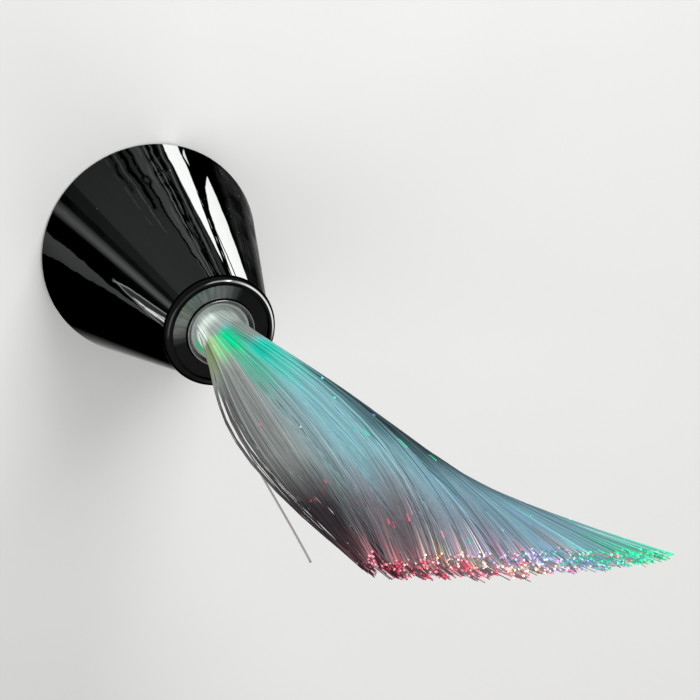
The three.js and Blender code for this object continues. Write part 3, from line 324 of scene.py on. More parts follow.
class Geometry(Graph):
    """A Geometry Nodes tree with named inputs."""

    def __init__(self, name: str, sizes: Mapping[str, str]) -> None:
        """Makes a tree; sizes maps each input's name to its kind."""
        tree = bpy.data.node_groups.new(name, "GeometryNodeTree")
        for label in ("Geometry", *sizes):
            kind = "NodeSocket" + sizes.get(label, "Geometry")
            tree.interface.new_socket(name=label, in_out="INPUT", socket_type=kind)
        tree.interface.new_socket(name="Geometry", in_out="OUTPUT", socket_type="NodeSocketGeometry")
        super().__init__(tree)
        self._inputs = tree.nodes.new("NodeGroupInput")

    def given(self, name: str) -> Socket:
        """One of the tree's inputs."""
        return Socket(self, self._inputs.outputs[name])

    def make(self, kind: str, **inputs: Any) -> Socket:
        """Adds a geometry node; underscores stand for spaces in socket names."""
        named = {name.replace("_", " "): value for name, value in inputs.items()}
        return self.node("GeometryNode" + kind, None, named)

    def join(self, parts: Iterable[Socket]) -> Socket:
        """Several geometries as one."""
        joined = self.make("JoinGeometry")
        for part in parts:
            self.tree.links.new(part.socket, joined.socket.node.inputs[0])
        return joined

    def coated(self, geometry: Socket, material: Socket) -> Socket:
        """A geometry with a material."""
        return self.make("SetMaterial", Geometry=geometry, Material=material)

    def smoothed(self, geometry: Socket) -> Socket:
        """A geometry with smooth shading."""
        return self.make("SetShadeSmooth", Geometry=geometry)

    def finish(self, geometry: Socket, material: Socket | None = None) -> None:
        """Ends the tree in real geometry, with one material where it is given."""
        real = self.make("RealizeInstances", Geometry=geometry)
        if material:
            real = self.coated(real, material)
        self.node("NodeGroupOutput", None, {0: real})

    def bake(self, obj: bpy.types.Object, values: Mapping[str, Any]) -> bpy.types.Object:
        """Runs the tree on an object and leaves its plain mesh there.

        Args:
            obj: the object that the tree starts from.
            values: the tree's inputs, by name.

        Returns:
            The same object, without a modifier.
        """
        modifier = obj.modifiers.new(self.tree.name, "NODES")
        modifier.node_group = self.tree
        for item in self.tree.interface.items_tree:
            if item.in_out == "INPUT" and item.name in values:
                modifier[item.identifier] = values[item.name]
        return plain(obj)


def plain(obj: bpy.types.Object) -> bpy.types.Object:
    """Replaces an object's mesh by its evaluated one and removes its modifiers."""
    bpy.context.view_layer.update()
    graph = bpy.context.evaluated_depsgraph_get()
    mesh = bpy.data.meshes.new_from_object(
        obj.evaluated_get(graph), preserve_all_data_layers=True, depsgraph=graph
    )
    obj.modifiers.clear()
    obj.data = mesh
    return obj


# Finishes


@dataclass(frozen=True)
class Finish:
    """A surface finish; each kind says how its material is made."""

    name: str

    def material(self) -> bpy.types.Material:
        """The finish's material, made once."""
        return bpy.data.materials.get(self.name) or self.build(Shader(self.name))

    def build(self, shader: Shader) -> bpy.types.Material:
        """Builds the material."""
        raise NotImplementedError


@dataclass(frozen=True)
class ReflectionBand:
    """A light or dark stripe of painted reflection that runs down a polished cone.

    Edges are (height, angle) pairs from the foot up, in millimetres and degrees.
    """

    left: tuple[Point, ...]
    right: tuple[Point, ...]
    shade: float
    soft: float = 0.6
    ragged: float = 0.0
    broken: float = 0.0
    low: float = -5.0
    high: float = 125.0


def stripe(left: float, right: float, shade: float, **more: float) -> ReflectionBand:
    """A painted reflection band with straight sides."""
    return ReflectionBand(((0, left),), ((0, right),), shade, **more)


@dataclass(frozen=True)
class ConeChrome(Finish):
    """Mirror plating with painted reflections: a dark base colour stands for a dark room in the mirror, light
    and dark bands run down the cone, a painted highlight lines its foot, and wear gathers towards its foot.
    """

    bands: tuple[ReflectionBand, ...] = ()
    height: float = 108.5
    dark_room_reflection: float = 0.012
    smudge_and_reflection_shade: float = 0.016
    foot_highlight_line: float = 2.0
    foot_highlight_soft: float = 0.5
    foot_highlight_shade: float = 0.3
    speck_shade: float = 0.55
    speck_scale: float = 420.0
    dark_arc: Limits = (-74.0, -84.0, -128.0, -150.0)
    worn_arc: Limits = (-40.0, -62.0, -118.0, -135.0)
    worn_heights: Span = (95.0, 20.0)
    white_reflection_shades: Span = (0.35, 0.85)
    tint: Colour = (0.93, 1.0, 0.965)
    white_reflection_tint: Colour = (0.98, 1.0, 0.99)
    edge_tint: Colour = grey(0.14)

    def build(self, shader: Shader) -> bpy.types.Material:
        """Lays the painted reflection bands over the dark base colour one after another."""
        x, y, z = shader.millimetres()
        angle = shader.angle(x, y)
        rough_edge = shader.laid(angle, z, (0.05, 0.08, 0.0), 1.0, 6.0) - 0.5
        fine_edge = shader.laid(angle, z, (0.3, 0.6, 4.0), 1.0, 3.0) - 0.5
        wander = rough_edge * 2.2 + fine_edge * 0.3
        gaps = shader.laid(angle, z, (0.55, 0.09, 9.0), 1.0, 5.0)
        smudge = shader.laid(angle, z, (0.05, 0.02, 7.0), 1.6, 3.0)
        cloud = shader.cloud(55.0, 4.0)
        # The dark side gets a lighter streaky haze that also makes it less metallic: partly smudges, partly
        # painted reflection.
        dark_side = angle.between(*self.dark_arc)
        haze_streaks = shader.laid(angle, z, (0.4, 0.03, 6.0), 1.2, 5.0)
        haze = dark_side * (0.25 + 0.5 * cloud.ramped(0.4, 0.7) + 0.9 * haze_streaks.ramped(0.52, 0.75))
        value = self.dark_room_reflection * (0.5 + smudge) + self.smudge_and_reflection_shade * haze
        for band in self.bands:
            value = value + (band.shade - value) * self._mask(shader, band, angle, z, wander, gaps)
        value = value * (0.86 + smudge * 0.28)
        # Painted highlight along the edge of the foot.
        foot = z.ramped(self.foot_highlight_line, self.foot_highlight_line - self.foot_highlight_soft)
        value = value + (self.foot_highlight_shade - value) * foot
        specks = self._specks(shader, angle, z)
        value = value + (self.speck_shade - value) * specks
        scratch = shader.laid(angle, z, (0.6, 0.05, 2.0), 1.5, 4.0)
        # Where the painted reflections are white, the colour turns neutral and the metal less metallic.
        bright = value.ramped(*self.white_reflection_shades)
        return shader.surface(
            Base_Color=shader.mix(bright, shader.tinted(value, self.tint), self.white_reflection_tint),
            Metallic=1.0 - bright * 0.65 - haze.ramped(0.0, 0.8) * 0.85,
            Roughness=0.05 + scratch.ramped(0.5, 0.9) * 0.16 + dark_side * 0.1 + specks * 0.3,
            Specular_IOR_Level=0.0,
            Specular_Tint=(*self.edge_tint, 1.0),
            Normal=shader.bump(shader.cloud(90.0, 2.0), 0.02),
        )

    def _edge(self, shader: Shader, points: Sequence[Point], z: Socket) -> Term:
        """The angle of an edge at each height."""
        if len(points) == 1:
            return points[0][1]
        full, turn = 120.0, 360.0
        stops = [(max(0.0, h) / full, grey(a / turn + 0.5)) for h, a in points]
        ramp = shader.node("ShaderNodeValToRGB", {"stops": stops}, {0: z / full})
        return (ramp - 0.5) * turn

    def _mask(
        self, shader: Shader, band: ReflectionBand, angle: Socket, z: Socket, wander: Socket, gaps: Socket
    ) -> Socket:
        """1 inside a band and 0 outside it."""
        gap_soft, end_soft = 0.04, 2
        moved = angle + wander * (2 * band.ragged) if band.ragged else angle
        left = moved - self._edge(shader, band.left, z)
        right = self._edge(shader, band.right, z) - moved
        inside = left.ramped(-band.soft, band.soft) * right.ramped(-band.soft, band.soft)
        if band.broken:
            inside = inside * gaps.ramped(band.broken - gap_soft, band.broken + gap_soft)
        if band.low > 0:
            inside = inside * z.ramped(band.low - end_soft, band.low + end_soft)
        if band.high < self.height:
            inside = inside * z.ramped(band.high + end_soft, band.high - end_soft)
        return inside

    def _specks(self, shader: Shader, angle: Socket, z: Socket) -> Socket:
        """Small bright marks, most of them near the foot and on the side away from the light."""
        inputs = {"Vector": shader.place(), "Scale": self.speck_scale}
        cell = shader.node("ShaderNodeTexVoronoi", None, inputs)
        chance = shader.node("ShaderNodeTexVoronoi", None, inputs, 1)
        chosen = shader.node("ShaderNodeSeparateColor", None, {0: chance})
        wear = shader.cloud(60.0).ramped(0.42, 0.7)
        side = angle.between(*self.worn_arc)
        amount = 0.05 + 0.35 * side * z.ramped(*self.worn_heights)
        return cell.ramped(0.2, 0.08) * wear * chosen.math("LESS_THAN", chosen, amount)


@dataclass(frozen=True)
class CollarChrome(Finish):
    """Mirror plating of the collar with painted reflections: a dark base colour stands for a dark room, the
    plate's radial streaks are lighter where they reflect light, and the bead has a painted highlight.
    """

    plate_edge: float = 21.0
    bead_inner: float = 21.3
    bead_highlight_radius: float = 23.4
    crest: Limits = (-0.75, -0.35, 0.0, 0.4)
    crest_edge: Limits = (-0.5, -0.2, 0.0, 0.2)
    dark_room_reflection: float = 0.01
    plate_reflection_arc: Limits = (-74.0, -40.0, 26.0, 62.0)
    bead_highlight_arc: Limits = (-152.0, -128.0, -78.0, -42.0)
    far_reflection_side: Span = (150.0, 172.0)
    tint: Colour = (0.97, 1.0, 0.985)
    edge_tint: Colour = grey(0.12)

    def build(self, shader: Shader) -> bpy.types.Material:
        """Streaks the plate with painted reflection and paints a highlight on the bead."""
        x, y, _ = shader.millimetres()
        radius = (x * x + y * y) ** 0.5
        angle = shader.angle(x, y)
        streaks = shader.laid(angle, radius, (0.22, 0.06, 0.0), 1.0, 4.0)
        broad = shader.laid(angle, radius, (0.045, 0.03, 3.0), 1.0, 2.0)
        # Painted reflection: the plate's streaks show light on the lit side and, more faintly, on the far
        # side.
        lit = angle.between(*self.plate_reflection_arc)
        far = abs(angle).ramped(*self.far_reflection_side)
        tone = self.dark_room_reflection + (lit + far * 0.5) * (0.14 + 0.3 * streaks.ramped(0.3, 0.75) * broad)
        on_bead = radius.ramped(self.plate_edge, self.bead_inner)
        # Painted highlight: a bright band along the bead's crest, with a fainter light edge on the far and
        # lit sides.
        arc = angle.between(*self.bead_highlight_arc)
        crest = radius.between(*(self.bead_highlight_radius + step for step in self.crest))
        edge = radius.between(*(self.bead_highlight_radius + step for step in self.crest_edge))
        bead = self.dark_room_reflection + arc * crest * 0.95 + (far * 0.25 + lit * 0.03) * edge
        tone = tone + (bead - tone) * on_bead
        smudge = shader.cloud(160.0)
        return shader.surface(
            Base_Color=shader.tinted(tone * (0.8 + 0.4 * smudge), self.tint),
            Metallic=1.0,
            Roughness=0.08 + smudge.ramped(0.5, 0.8) * 0.1 + 0.3 * (1 - on_bead),
            Specular_Tint=(*self.edge_tint, 1.0),
            Normal=shader.bump(streaks, 0.01),
        )


@dataclass(frozen=True)
class Plated(Finish):
    """Bright plating with a little haze."""

    shade: float = 0.5
    roughness: float = 0.08
    tint: Colour = (0.96, 1.0, 0.99)

    def build(self, shader: Shader) -> bpy.types.Material:
        """Polished metal with faint rubbing marks."""
        haze = shader.cloud(240.0)
        return shader.surface(
            Base_Color=shader.tinted(self.shade * (0.8 + 0.4 * haze), self.tint),
            Metallic=1.0,
            Roughness=self.roughness + haze.ramped(0.45, 0.8) * 0.12,
            Normal=shader.bump(haze, 0.01),
        )


@dataclass(frozen=True)
class Metal(Finish):
    """Bare metal: rolled, pressed, turned or cast."""

    colour: Colour = (0.4, 0.4, 0.4)
    roughness: float = 0.35
    grain: Triple = (1.0, 1.0, 12.0)

    def build(self, shader: Shader) -> bpy.types.Material:
        """Streaks of grain along one axis, with darker stains."""
        grain = shader.stretched(self.grain, 180.0, 4.0)
        stain = shader.cloud(45.0)
        tone = (0.78 + 0.3 * grain) * (0.85 + 0.25 * stain)
        return shader.surface(
            Base_Color=shader.tinted(tone, self.colour),
            Metallic=1.0,
            Roughness=self.roughness * (0.7 + 0.6 * grain),
            Normal=shader.bump(grain, 0.02),
        )


@dataclass(frozen=True)
class Moulded(Finish):
    """Moulded plastic with a fine spark-eroded grain."""

    colour: Colour = (0.02, 0.02, 0.02)
    roughness: float = 0.45
    grain: float = 0.03
    glow: float = 0.0

    def build(self, shader: Shader) -> bpy.types.Material:
        """Fine grain, slow changes of tone and polished touches."""
        grain = shader.cloud(1500.0, 2.0)
        tone = 0.85 + 0.3 * shader.cloud(35.0)
        worn = shader.cloud(18.0, 4.0).ramped(0.55, 0.75)
        return shader.surface(
            Base_Color=shader.tinted(tone, self.colour),
            Roughness=self.roughness + 0.15 * grain - 0.1 * worn,
            Normal=shader.bump(grain, self.grain),
            Emission_Color=(*self.colour, 1.0),
            Emission_Strength=self.glow,
        )


@dataclass(frozen=True)
class Frosted(Finish):
    """Milky ferrule that the light inside makes glow, green on one side of its mouth."""

    body: Colour = (0.26, 0.29, 0.28)
    glow_colour: Colour = (0.01, 0.3, 0.11)
    mouth: float = 11.3
    top: float = 108.0
    glow_angle: float = 90.0
    glow_drop: float = 6.0
    glow_rim: Span = (1.2, -0.8)
    rim: float = 1.0

    def build(self, shader: Shader) -> bpy.types.Material:
        """Paler towards the mouth, with a green patch that fades outwards."""
        x, y, z = shader.millimetres()
        radius = (x * x + y * y) ** 0.5
        angle = shader.angle(x, y)
        cloud = shader.cloud(220.0)
        side = abs(angle - self.glow_angle).ramped(38.0, 12.0)
        outside, inside = (self.mouth + step for step in self.glow_rim)
        patch = side * z.ramped(self.top - self.glow_drop, self.top) * radius.ramped(outside, inside)
        inner = radius.ramped(self.mouth, self.mouth - self.rim)
        light = shader.mix(inner, grey(0.05), grey(0.12))
        return shader.surface(
            Base_Color=shader.mix(patch, shader.tinted(0.85 + 0.3 * cloud, self.body), self.glow_colour),
            Roughness=0.5 + 0.2 * cloud,
            Subsurface_Weight=0.25,
            Subsurface_Radius=(1.0, 1.0, 1.0),
            Subsurface_Scale=0.002,
            Specular_IOR_Level=0.3,
            Emission_Color=shader.mix(patch, light, self.glow_colour),
            Emission_Strength=1.0,
            Normal=shader.bump(cloud, 0.02),
        )


@dataclass(frozen=True)
class LitStrand(Finish):
    """Clear fibre that shows the light in it, which the mesh carries as a colour."""

    own_light: float = 0.8
    scattered: float = 0.4

    def build(self, shader: Shader) -> bpy.types.Material:
        """A glossy thread with faint streaks along it."""
        light = shader.attribute("light")
        streak = shader.stretched((1.0, 1.0, 0.1), 700.0, 2.0)
        glow = shader.tinted(0.75 + 0.5 * streak, light)
        return shader.surface(
            Base_Color=shader.tinted(self.scattered, light),
            Roughness=0.3 + 0.15 * streak,
            Specular_IOR_Level=0.08,
            Emission_Color=shader.tinted(self.own_light, glow),
            Emission_Strength=1.0,
        )


@dataclass(frozen=True)
class LitTip(Finish):
    """Glowing end of a fibre."""

    def build(self, shader: Shader) -> bpy.types.Material:
        """Light of the colour that the mesh carries, over a glassy bead."""
        spot = shader.cloud(900.0, 1.0)
        light = shader.attribute("light")
        return shader.surface(
            Base_Color=shader.tinted(0.5, light),
            Roughness=0.15 + 0.2 * spot,
            Emission_Color=light,
            Emission_Strength=1.0,
        )


@dataclass(frozen=True)
class Clear(Finish):
    """Clear or coloured glass or film."""

    colour: Colour = (0.9, 0.95, 0.94)
    roughness: float = 0.03

    def build(self, shader: Shader) -> bpy.types.Material:
        """Glass with a faint ripple and a touch of haze."""
        haze = shader.cloud(120.0)
        return shader.surface(
            Base_Color=shader.tinted(0.92 + 0.16 * haze, self.colour),
            Roughness=self.roughness + 0.05 * haze,
            IOR=1.5,
            Transmission_Weight=0.85,
            Normal=shader.bump(haze, 0.01),
        )


@dataclass(frozen=True)
class Board(Finish):
    """Printed board: lacquered green with copper tracks below the lacquer."""

    lacquer: Colour = (0.012, 0.12, 0.05)
    track: Colour = (0.05, 0.26, 0.1)
    pitch: float = 2.54
    track_edge: Span = (0.12, 0.08)
    pad_edge: Span = (0.2, 0.16)

    def build(self, shader: Shader) -> bpy.types.Material:
        """A grid of tracks, some of them missing, and tinned pads where they cross."""
        x, y, _ = shader.millimetres()
        line_x, line_y = (abs(place.math("FRACT", place / self.pitch) - 0.5) for place in (x, y))
        patch = shader.cloud(260.0, 1.0)
        along_y = line_x.ramped(*self.track_edge) * patch.ramped(0.5, 0.52)
        along_x = line_y.ramped(*self.track_edge) * patch.ramped(0.5, 0.48)
        tracks = along_y.math("MAXIMUM", along_y, along_x)
        pads = line_x.ramped(*self.pad_edge) * line_y.ramped(*self.pad_edge) * patch.ramped(0.55, 0.56)
        colour = shader.mix(pads, shader.mix(tracks, self.lacquer, self.track), grey(0.55))
        return shader.surface(
            Base_Color=colour,
            Metallic=pads,
            Roughness=0.35 - 0.1 * pads,
            Coat_Weight=0.4,
            Normal=shader.bump(tracks, 0.03),
        )


@dataclass(frozen=True)
class CellSleeve(Finish):
    """A dry cell: printed sleeve with a plain band, and bare metal at both ends."""

    sleeve: Colour = (0.03, 0.05, 0.08)
    band: Colour = (0.75, 0.36, 0.06)
    sleeve_half: float = 23.6
    band_place: float = 15.0

    def build(self, shader: Shader) -> bpy.types.Material:
        """Sleeve, one plain band and tinned ends along X."""
        x, _, _ = shader.millimetres()
        bare = abs(x).ramped(self.sleeve_half, self.sleeve_half + 0.3)
        band = x.ramped(self.band_place, self.band_place + 0.2)
        scuff = shader.cloud(300.0)
        colour = shader.mix(band, self.sleeve, self.band)
        colour = shader.mix(bare, colour, grey(0.6))
        return shader.surface(
            Base_Color=shader.mix(scuff.ramped(0.6, 0.9) * 0.3, colour, grey(0.3)),
            Metallic=bare,
            Roughness=0.25 + 0.2 * scuff,
            Normal=shader.bump(scuff, 0.01),
        )


@dataclass(frozen=True)
class Floor(Finish):
    """Pale studio floor."""

    shade: float = 0.78
    tint: Colour = (1.0, 0.995, 0.985)

    def build(self, shader: Shader) -> bpy.types.Material:
        """Very faint mottling."""
        mottle = shader.cloud(14.0, 4.0)
        return shader.surface(
            Base_Color=shader.tinted(self.shade * (0.985 + 0.03 * mottle), self.tint),
            Roughness=0.75,
            Specular_IOR_Level=0.2,
        )


# Mesh tools


def rounded(corners: Sequence[tuple[float, ...]], steps: int = 4) -> list[Point]:
    """Rounds the corners of a closed outline.

    Args:
        corners: (radius, height) or (radius, height, rounding) of each corner.
        steps: steps of each rounding.

    Returns:
        The outline's points.
    """
    outline: list[Point] = []
    count = len(corners)
    for i, corner in enumerate(corners):
        here = Vector(corner[:2])
        size = corner[2] if len(corner) > 2 else 0.0
        back = Vector(corners[i - 1][:2]) - here
        ahead = Vector(corners[(i + 1) % count][:2]) - here
        if size <= 0 or min(back.length, ahead.length) < TINY:
            outline.append(tuple(here))
            continue
        half = back.angle(ahead) / 2
        reach = min(size / math.tan(half), SIDE_SHARE * min(back.length, ahead.length))
        centre = here + (back.normalized() + ahead.normalized()).normalized() * (reach / math.cos(half))
        start = here + back.normalized() * reach - centre
        end = here + ahead.normalized() * reach - centre
        sweep = (math.pi - 2 * half) * (1 if start.cross(end) > 0 else -1)
        spins = (Matrix.Rotation(sweep * k / steps, 2) for k in range(steps + 1))
        outline.extend(tuple(centre + spin @ start) for spin in spins)
    return outline


def linked(name: str, mesh: bpy.types.Mesh) -> bpy.types.Object:
    """A new object in the scene."""
    obj = bpy.data.objects.new(name, mesh)
    bpy.context.scene.collection.objects.link(obj)
    return obj


def mesh_of(name: str, work: bmesh.types.BMesh) -> bpy.types.Mesh:
    """The mesh that was worked on, which ends the work."""
    mesh = bpy.data.meshes.new(name)
    work.to_mesh(mesh)
    work.free()
    return mesh


def evened(obj: bpy.types.Object) -> bpy.types.Object:
    """Shades smoothly between sharp edges, led by large faces, so that flats stay flat."""
    obj.data.shade_smooth()
    obj.data.set_sharp_from_angle(angle=math.radians(SHARP_ANGLE))
    modifier = obj.modifiers.new("even_normals", "WEIGHTED_NORMAL")
    modifier.keep_sharp = True
    return obj


def turned(name: str, outline: Sequence[Point], steps: int = 128, closed: bool = True) -> bpy.types.Object:
    """A round piece about Z.

    Args:
        name: the object's name.
        outline: (radius, height) points in millimetres.
        steps: steps round the axis.
        closed: whether the outline closes on itself; otherwise both ends lie on the axis.

    Returns:
        The object.
    """
    work = bmesh.new()
    rings = []
    for radius, height in outline:
        if radius < TINY:
            rings.append([work.verts.new((0.0, 0.0, height * MM))])
            continue
        angles = (2 * math.pi * k / steps for k in range(steps))
        points = [(radius * MM * math.cos(a), radius * MM * math.sin(a), height * MM) for a in angles]
        rings.append([work.verts.new(point) for point in points])
    pairs = list(zip(rings, rings[1:]))
    if closed:
        pairs.append((rings[-1], rings[0]))
    for low, high in pairs:
        for k in range(steps):
            corners = ((low, k), (low, k + 1), (high, k + 1), (high, k))
            face = list(dict.fromkeys(ring[i % len(ring)] for ring, i in corners))
            if len(face) > 2:
                work.faces.new(face)
    bmesh.ops.recalc_face_normals(work, faces=work.faces)
    return evened(linked(name, mesh_of(name, work)))


def cut_by(obj: bpy.types.Object, cutter: bpy.types.Object) -> bpy.types.Object:
    """Takes the cutter's space out of an object and removes the cutter."""
    modifier = obj.modifiers.new("cut", "BOOLEAN")
    modifier.operation = "DIFFERENCE"
    modifier.solver = "EXACT"
    modifier.object = cutter
    plain(obj)
    bpy.data.objects.remove(cutter)
    return evened(obj)


def softened(node: str, width: float) -> bpy.types.Object:
    """A copy of a CAD node with merged faces and small roundings along its edges.

    Args:
        node: the CAD node.
        width: width of the roundings in millimetres.

    Returns:
        The copy, named after the node.
    """
    work = bmesh.new()
    work.from_mesh(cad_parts[node].data)
    bmesh.ops.remove_doubles(work, verts=work.verts, dist=MERGE_DISTANCE * MM)
    flat = math.radians(FLAT_ANGLE)
    bmesh.ops.dissolve_limit(work, angle_limit=flat, verts=work.verts, edges=work.edges)
    obj = linked(node + "_fine", mesh_of(node + "_fine", work))
    modifier = obj.modifiers.new("edges", "BEVEL")
    modifier.width = width * MM
    modifier.segments = 2
    modifier.limit_method = "ANGLE"
    modifier.angle_limit = math.radians(ROUNDED_ANGLE)
    modifier.use_clamp_overlap = True
    return evened(plain(obj))


def placed(obj: bpy.types.Object, matrix: Matrix) -> bpy.types.Object:
    """Moves an object's mesh; the object itself stays at the origin."""
    obj.data.transform(matrix)
    return obj


def settle(
    obj: bpy.types.Object, body: Body, finish: Finish | None, replaces: Sequence[str] = ()
) -> bpy.types.Object:
    """Gives a piece its finish and body, hides the nodes that it stands for, and reports it."""
    if finish:
        obj.data.materials.clear()
        obj.data.materials.append(finish.material())
    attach(obj, body.value)
    if replaces:
        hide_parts(*replaces)
    log.info("%s rides on %s, for %s", obj.name, body.value, ", ".join(replaces) or "no node")
    return obj


# Finishes of this lamp

# Painted reflections of the cone: light and dark bands laid into its colour, all round it.
CONE_REFLECTION_BANDS = (
    stripe(-53, -45, 0.055, soft=1.0, ragged=0.5),
    stripe(-45.2, -37.2, 0.05, soft=0.5, ragged=1.0, broken=0.53),
    stripe(-46.8, -45.9, 0.13, soft=0.3, ragged=0.7, broken=0.36),
    stripe(-48.9, -48.0, 0.012, soft=0.4, ragged=0.7, broken=0.4),
    stripe(-37, -31, 0.07, soft=0.8, ragged=0.9),
    stripe(-38.9, -38.0, 0.13, soft=0.4, ragged=0.7, broken=0.42),
    stripe(-42.0, -41.2, 0.12, soft=0.3, ragged=0.7, broken=0.42, high=62.0),
    stripe(-35.3, -34.6, 0.11, soft=0.3, ragged=0.8, broken=0.45),
    stripe(-31, 9.4, 0.034, soft=1.0, ragged=0.5),
    stripe(3, 9.4, 0.02, soft=0.5),
    ReflectionBand(
        ((0, -30.5), (55, -30.5), (108, -34)), ((0, -29.3), (55, -29.5), (108, -32.4)), 0.005, 0.4, 1.3, 0.34
    ),
    stripe(-27, -24.6, 0.008, soft=0.5, ragged=1.4, broken=0.42, high=52.0),
    stripe(-22.8, -22.0, 0.08, soft=0.3, ragged=0.6, broken=0.42, high=70.0),
    stripe(-20.6, -18.6, 0.012, soft=0.7, ragged=1.2, broken=0.45, high=34.0),
    stripe(-17.4, -16.7, 0.06, soft=0.3, ragged=0.6, broken=0.5, high=64.0),
    stripe(14.4, 21, 0.06, soft=1.2),
    stripe(16.4, 19.4, 0.1, soft=1.0, ragged=0.2),
    ReflectionBand(
        ((0, 32), (24, 32.4), (41, 34), (60, 36.2), (108, 38)),
        ((0, 43.4), (58, 41), (108, 40.2)),
        0.085,
        0.5,
        1.1,
    ),
    ReflectionBand(((66, 31.5), (76, 29), (108, 27)), ((66, 30), (76, 33), (88, 36), (108, 40.2)), 0.05, 0.4, low=66.0),
    ReflectionBand(
        ((64, 31.3), (76, 28.6), (108, 26.4)), ((64, 32.3), (76, 29.6), (108, 27.4)), 0.3, 0.3, 0.4, low=64.0
    ),
    ReflectionBand(
        ((64, 30.2), (76, 32.6), (108, 39.4)),
        ((64, 31.4), (76, 33.8), (108, 40.8)),
        0.22,
        0.3,
        0.4,
        0.35,
        64.0,
    ),
    ReflectionBand(((84, 33), (108, 31.8)), ((84, 34), (108, 36.6)), 0.6, 0.5, 1.0, 0.4, low=82.0),
    ReflectionBand(
        ((20, -69), (24, -70), (58, -73.8), (92, -76.6), (108, -78)),
        ((20, -71), (24, -69.4), (35, -65.4), (58, -61.4), (73, -61), (108, -64)),
        0.97,
        0.5,
        0.4,
    ),
    ReflectionBand(((70, -60), (108, -62.6)), ((70, -60.6), (108, -59.2)), 0.93, 0.3, 0.4, 0.3, low=72.0),
    stripe(-58.2, -57.8, 0.6, soft=0.25, ragged=0.5, broken=0.5, low=40.0),
    ReflectionBand(
        ((0, -57), (24, -57.8), (41, -57.6), (75, -56), (97, -55.2)),
        ((0, -48.8), (24, -49.4), (58, -51), (92, -54), (97, -54.8)),
        0.98,
        0.4,
        0.4,
        high=97.0,
    ),
    ReflectionBand(
        ((3, -60.4), (18, -59.6)), ((3, -59.8), (10, -58.4), (18, -59.2)), 0.7, 0.3, 0.5, low=4.0, high=18.0
    ),
    ReflectionBand(
        ((24, -30.6), (26, -32.6), (29.6, -33.4), (33, -32.4), (35, -30.6)),
        ((24, -30.4), (26, -28.6), (29.6, -27.8), (33, -28.8), (35, -30.2)),
        0.014,
        0.9,
        0.5,
        low=25,
        high=34,
    ),
    ReflectionBand(
        ((26, -30.6), (29.6, -32), (33, -30.6)),
        ((26, -30.4), (29.6, -29), (33, -30.4)),
        0.045,
        0.8,
        low=27,
        high=32,
    ),
    stripe(126, 133, 0.09, soft=1.4, ragged=0.5),
    stripe(137, 140, 0.55, soft=0.6, ragged=0.5, low=12.0),
    stripe(142, 144, 0.16, soft=0.5, ragged=0.6, broken=0.4),
    stripe(148, 172, 0.05, soft=1.5, ragged=0.4),
    stripe(-172, -165, 0.85, soft=0.7, ragged=0.5),
    stripe(-162, -158, 0.2, soft=0.6, ragged=0.7, broken=0.4, high=80.0),
    stripe(-150, -132, 0.045, soft=1.5, ragged=0.5),
)

CONE = ConeChrome("cone_chrome", CONE_REFLECTION_BANDS)
COLLAR = CollarChrome("collar_chrome")
# The ring's plating is darkened below bright chrome: a painted reflection of a dark room.
RING = Plated("ring_chrome", 0.22, 0.12)
BEZEL = Plated("bezel_chrome", 0.32)
FROSTED = Frosted("frosted_ferrule")
STRAND = LitStrand("lit_strand")
TIP = LitTip("lit_tip")
POTTING = Moulded("white_potting", (0.4, 0.43, 0.42), 0.5, 0.02, 0.3)
STEEL = Metal("rolled_steel", (0.42, 0.43, 0.44), 0.34)
ZINC = Metal("zinc_screw", (0.5, 0.5, 0.47), 0.28, (1.0, 1.0, 1.0))
BRASS = Metal("turned_brass", (0.62, 0.43, 0.16), 0.3)
ALUMINIUM = Metal("extruded_aluminium", (0.62, 0.63, 0.64), 0.38, (1.0, 1.0, 0.08))
MIRROR = Plated("mirror_reflector", 0.85, 0.05)
PHOSPHOR = Moulded("phosphor_dome", (0.9, 0.78, 0.32), 0.25, 0.01, 0.6)
BLACK = Moulded("black_moulding", (0.018, 0.019, 0.02), 0.45)
BUTTON_BLACK = Moulded("button_moulding", (0.025, 0.026, 0.028), 0.3, 0.02)
WHITE = Moulded("white_moulding", (0.62, 0.62, 0.58), 0.45)
RUBBER = Moulded("foot_rubber", (0.012, 0.012, 0.012), 0.8, 0.06)
INSULATION = Moulded("lead_insulation", (0.2, 0.012, 0.014), 0.4, 0.01)
GLASS = Clear("heat_glass")
BOARD = Board("printed_board")
CELL = CellSleeve("cell_sleeve")
FILMS = {
    Slot.FILTER_GREEN: Clear("green_film", (0.02, 0.5, 0.15), 0.1),
    Slot.FILTER_RED: Clear("red_film", (0.65, 0.02, 0.04), 0.1),
    Slot.FILTER_AMBER: Clear("amber_film", (0.85, 0.45, 0.05), 0.1),
    Slot.FILTER_BLUE: Clear("blue_film", (0.05, 0.1, 0.6), 0.1),
}


# Sub-assemblies


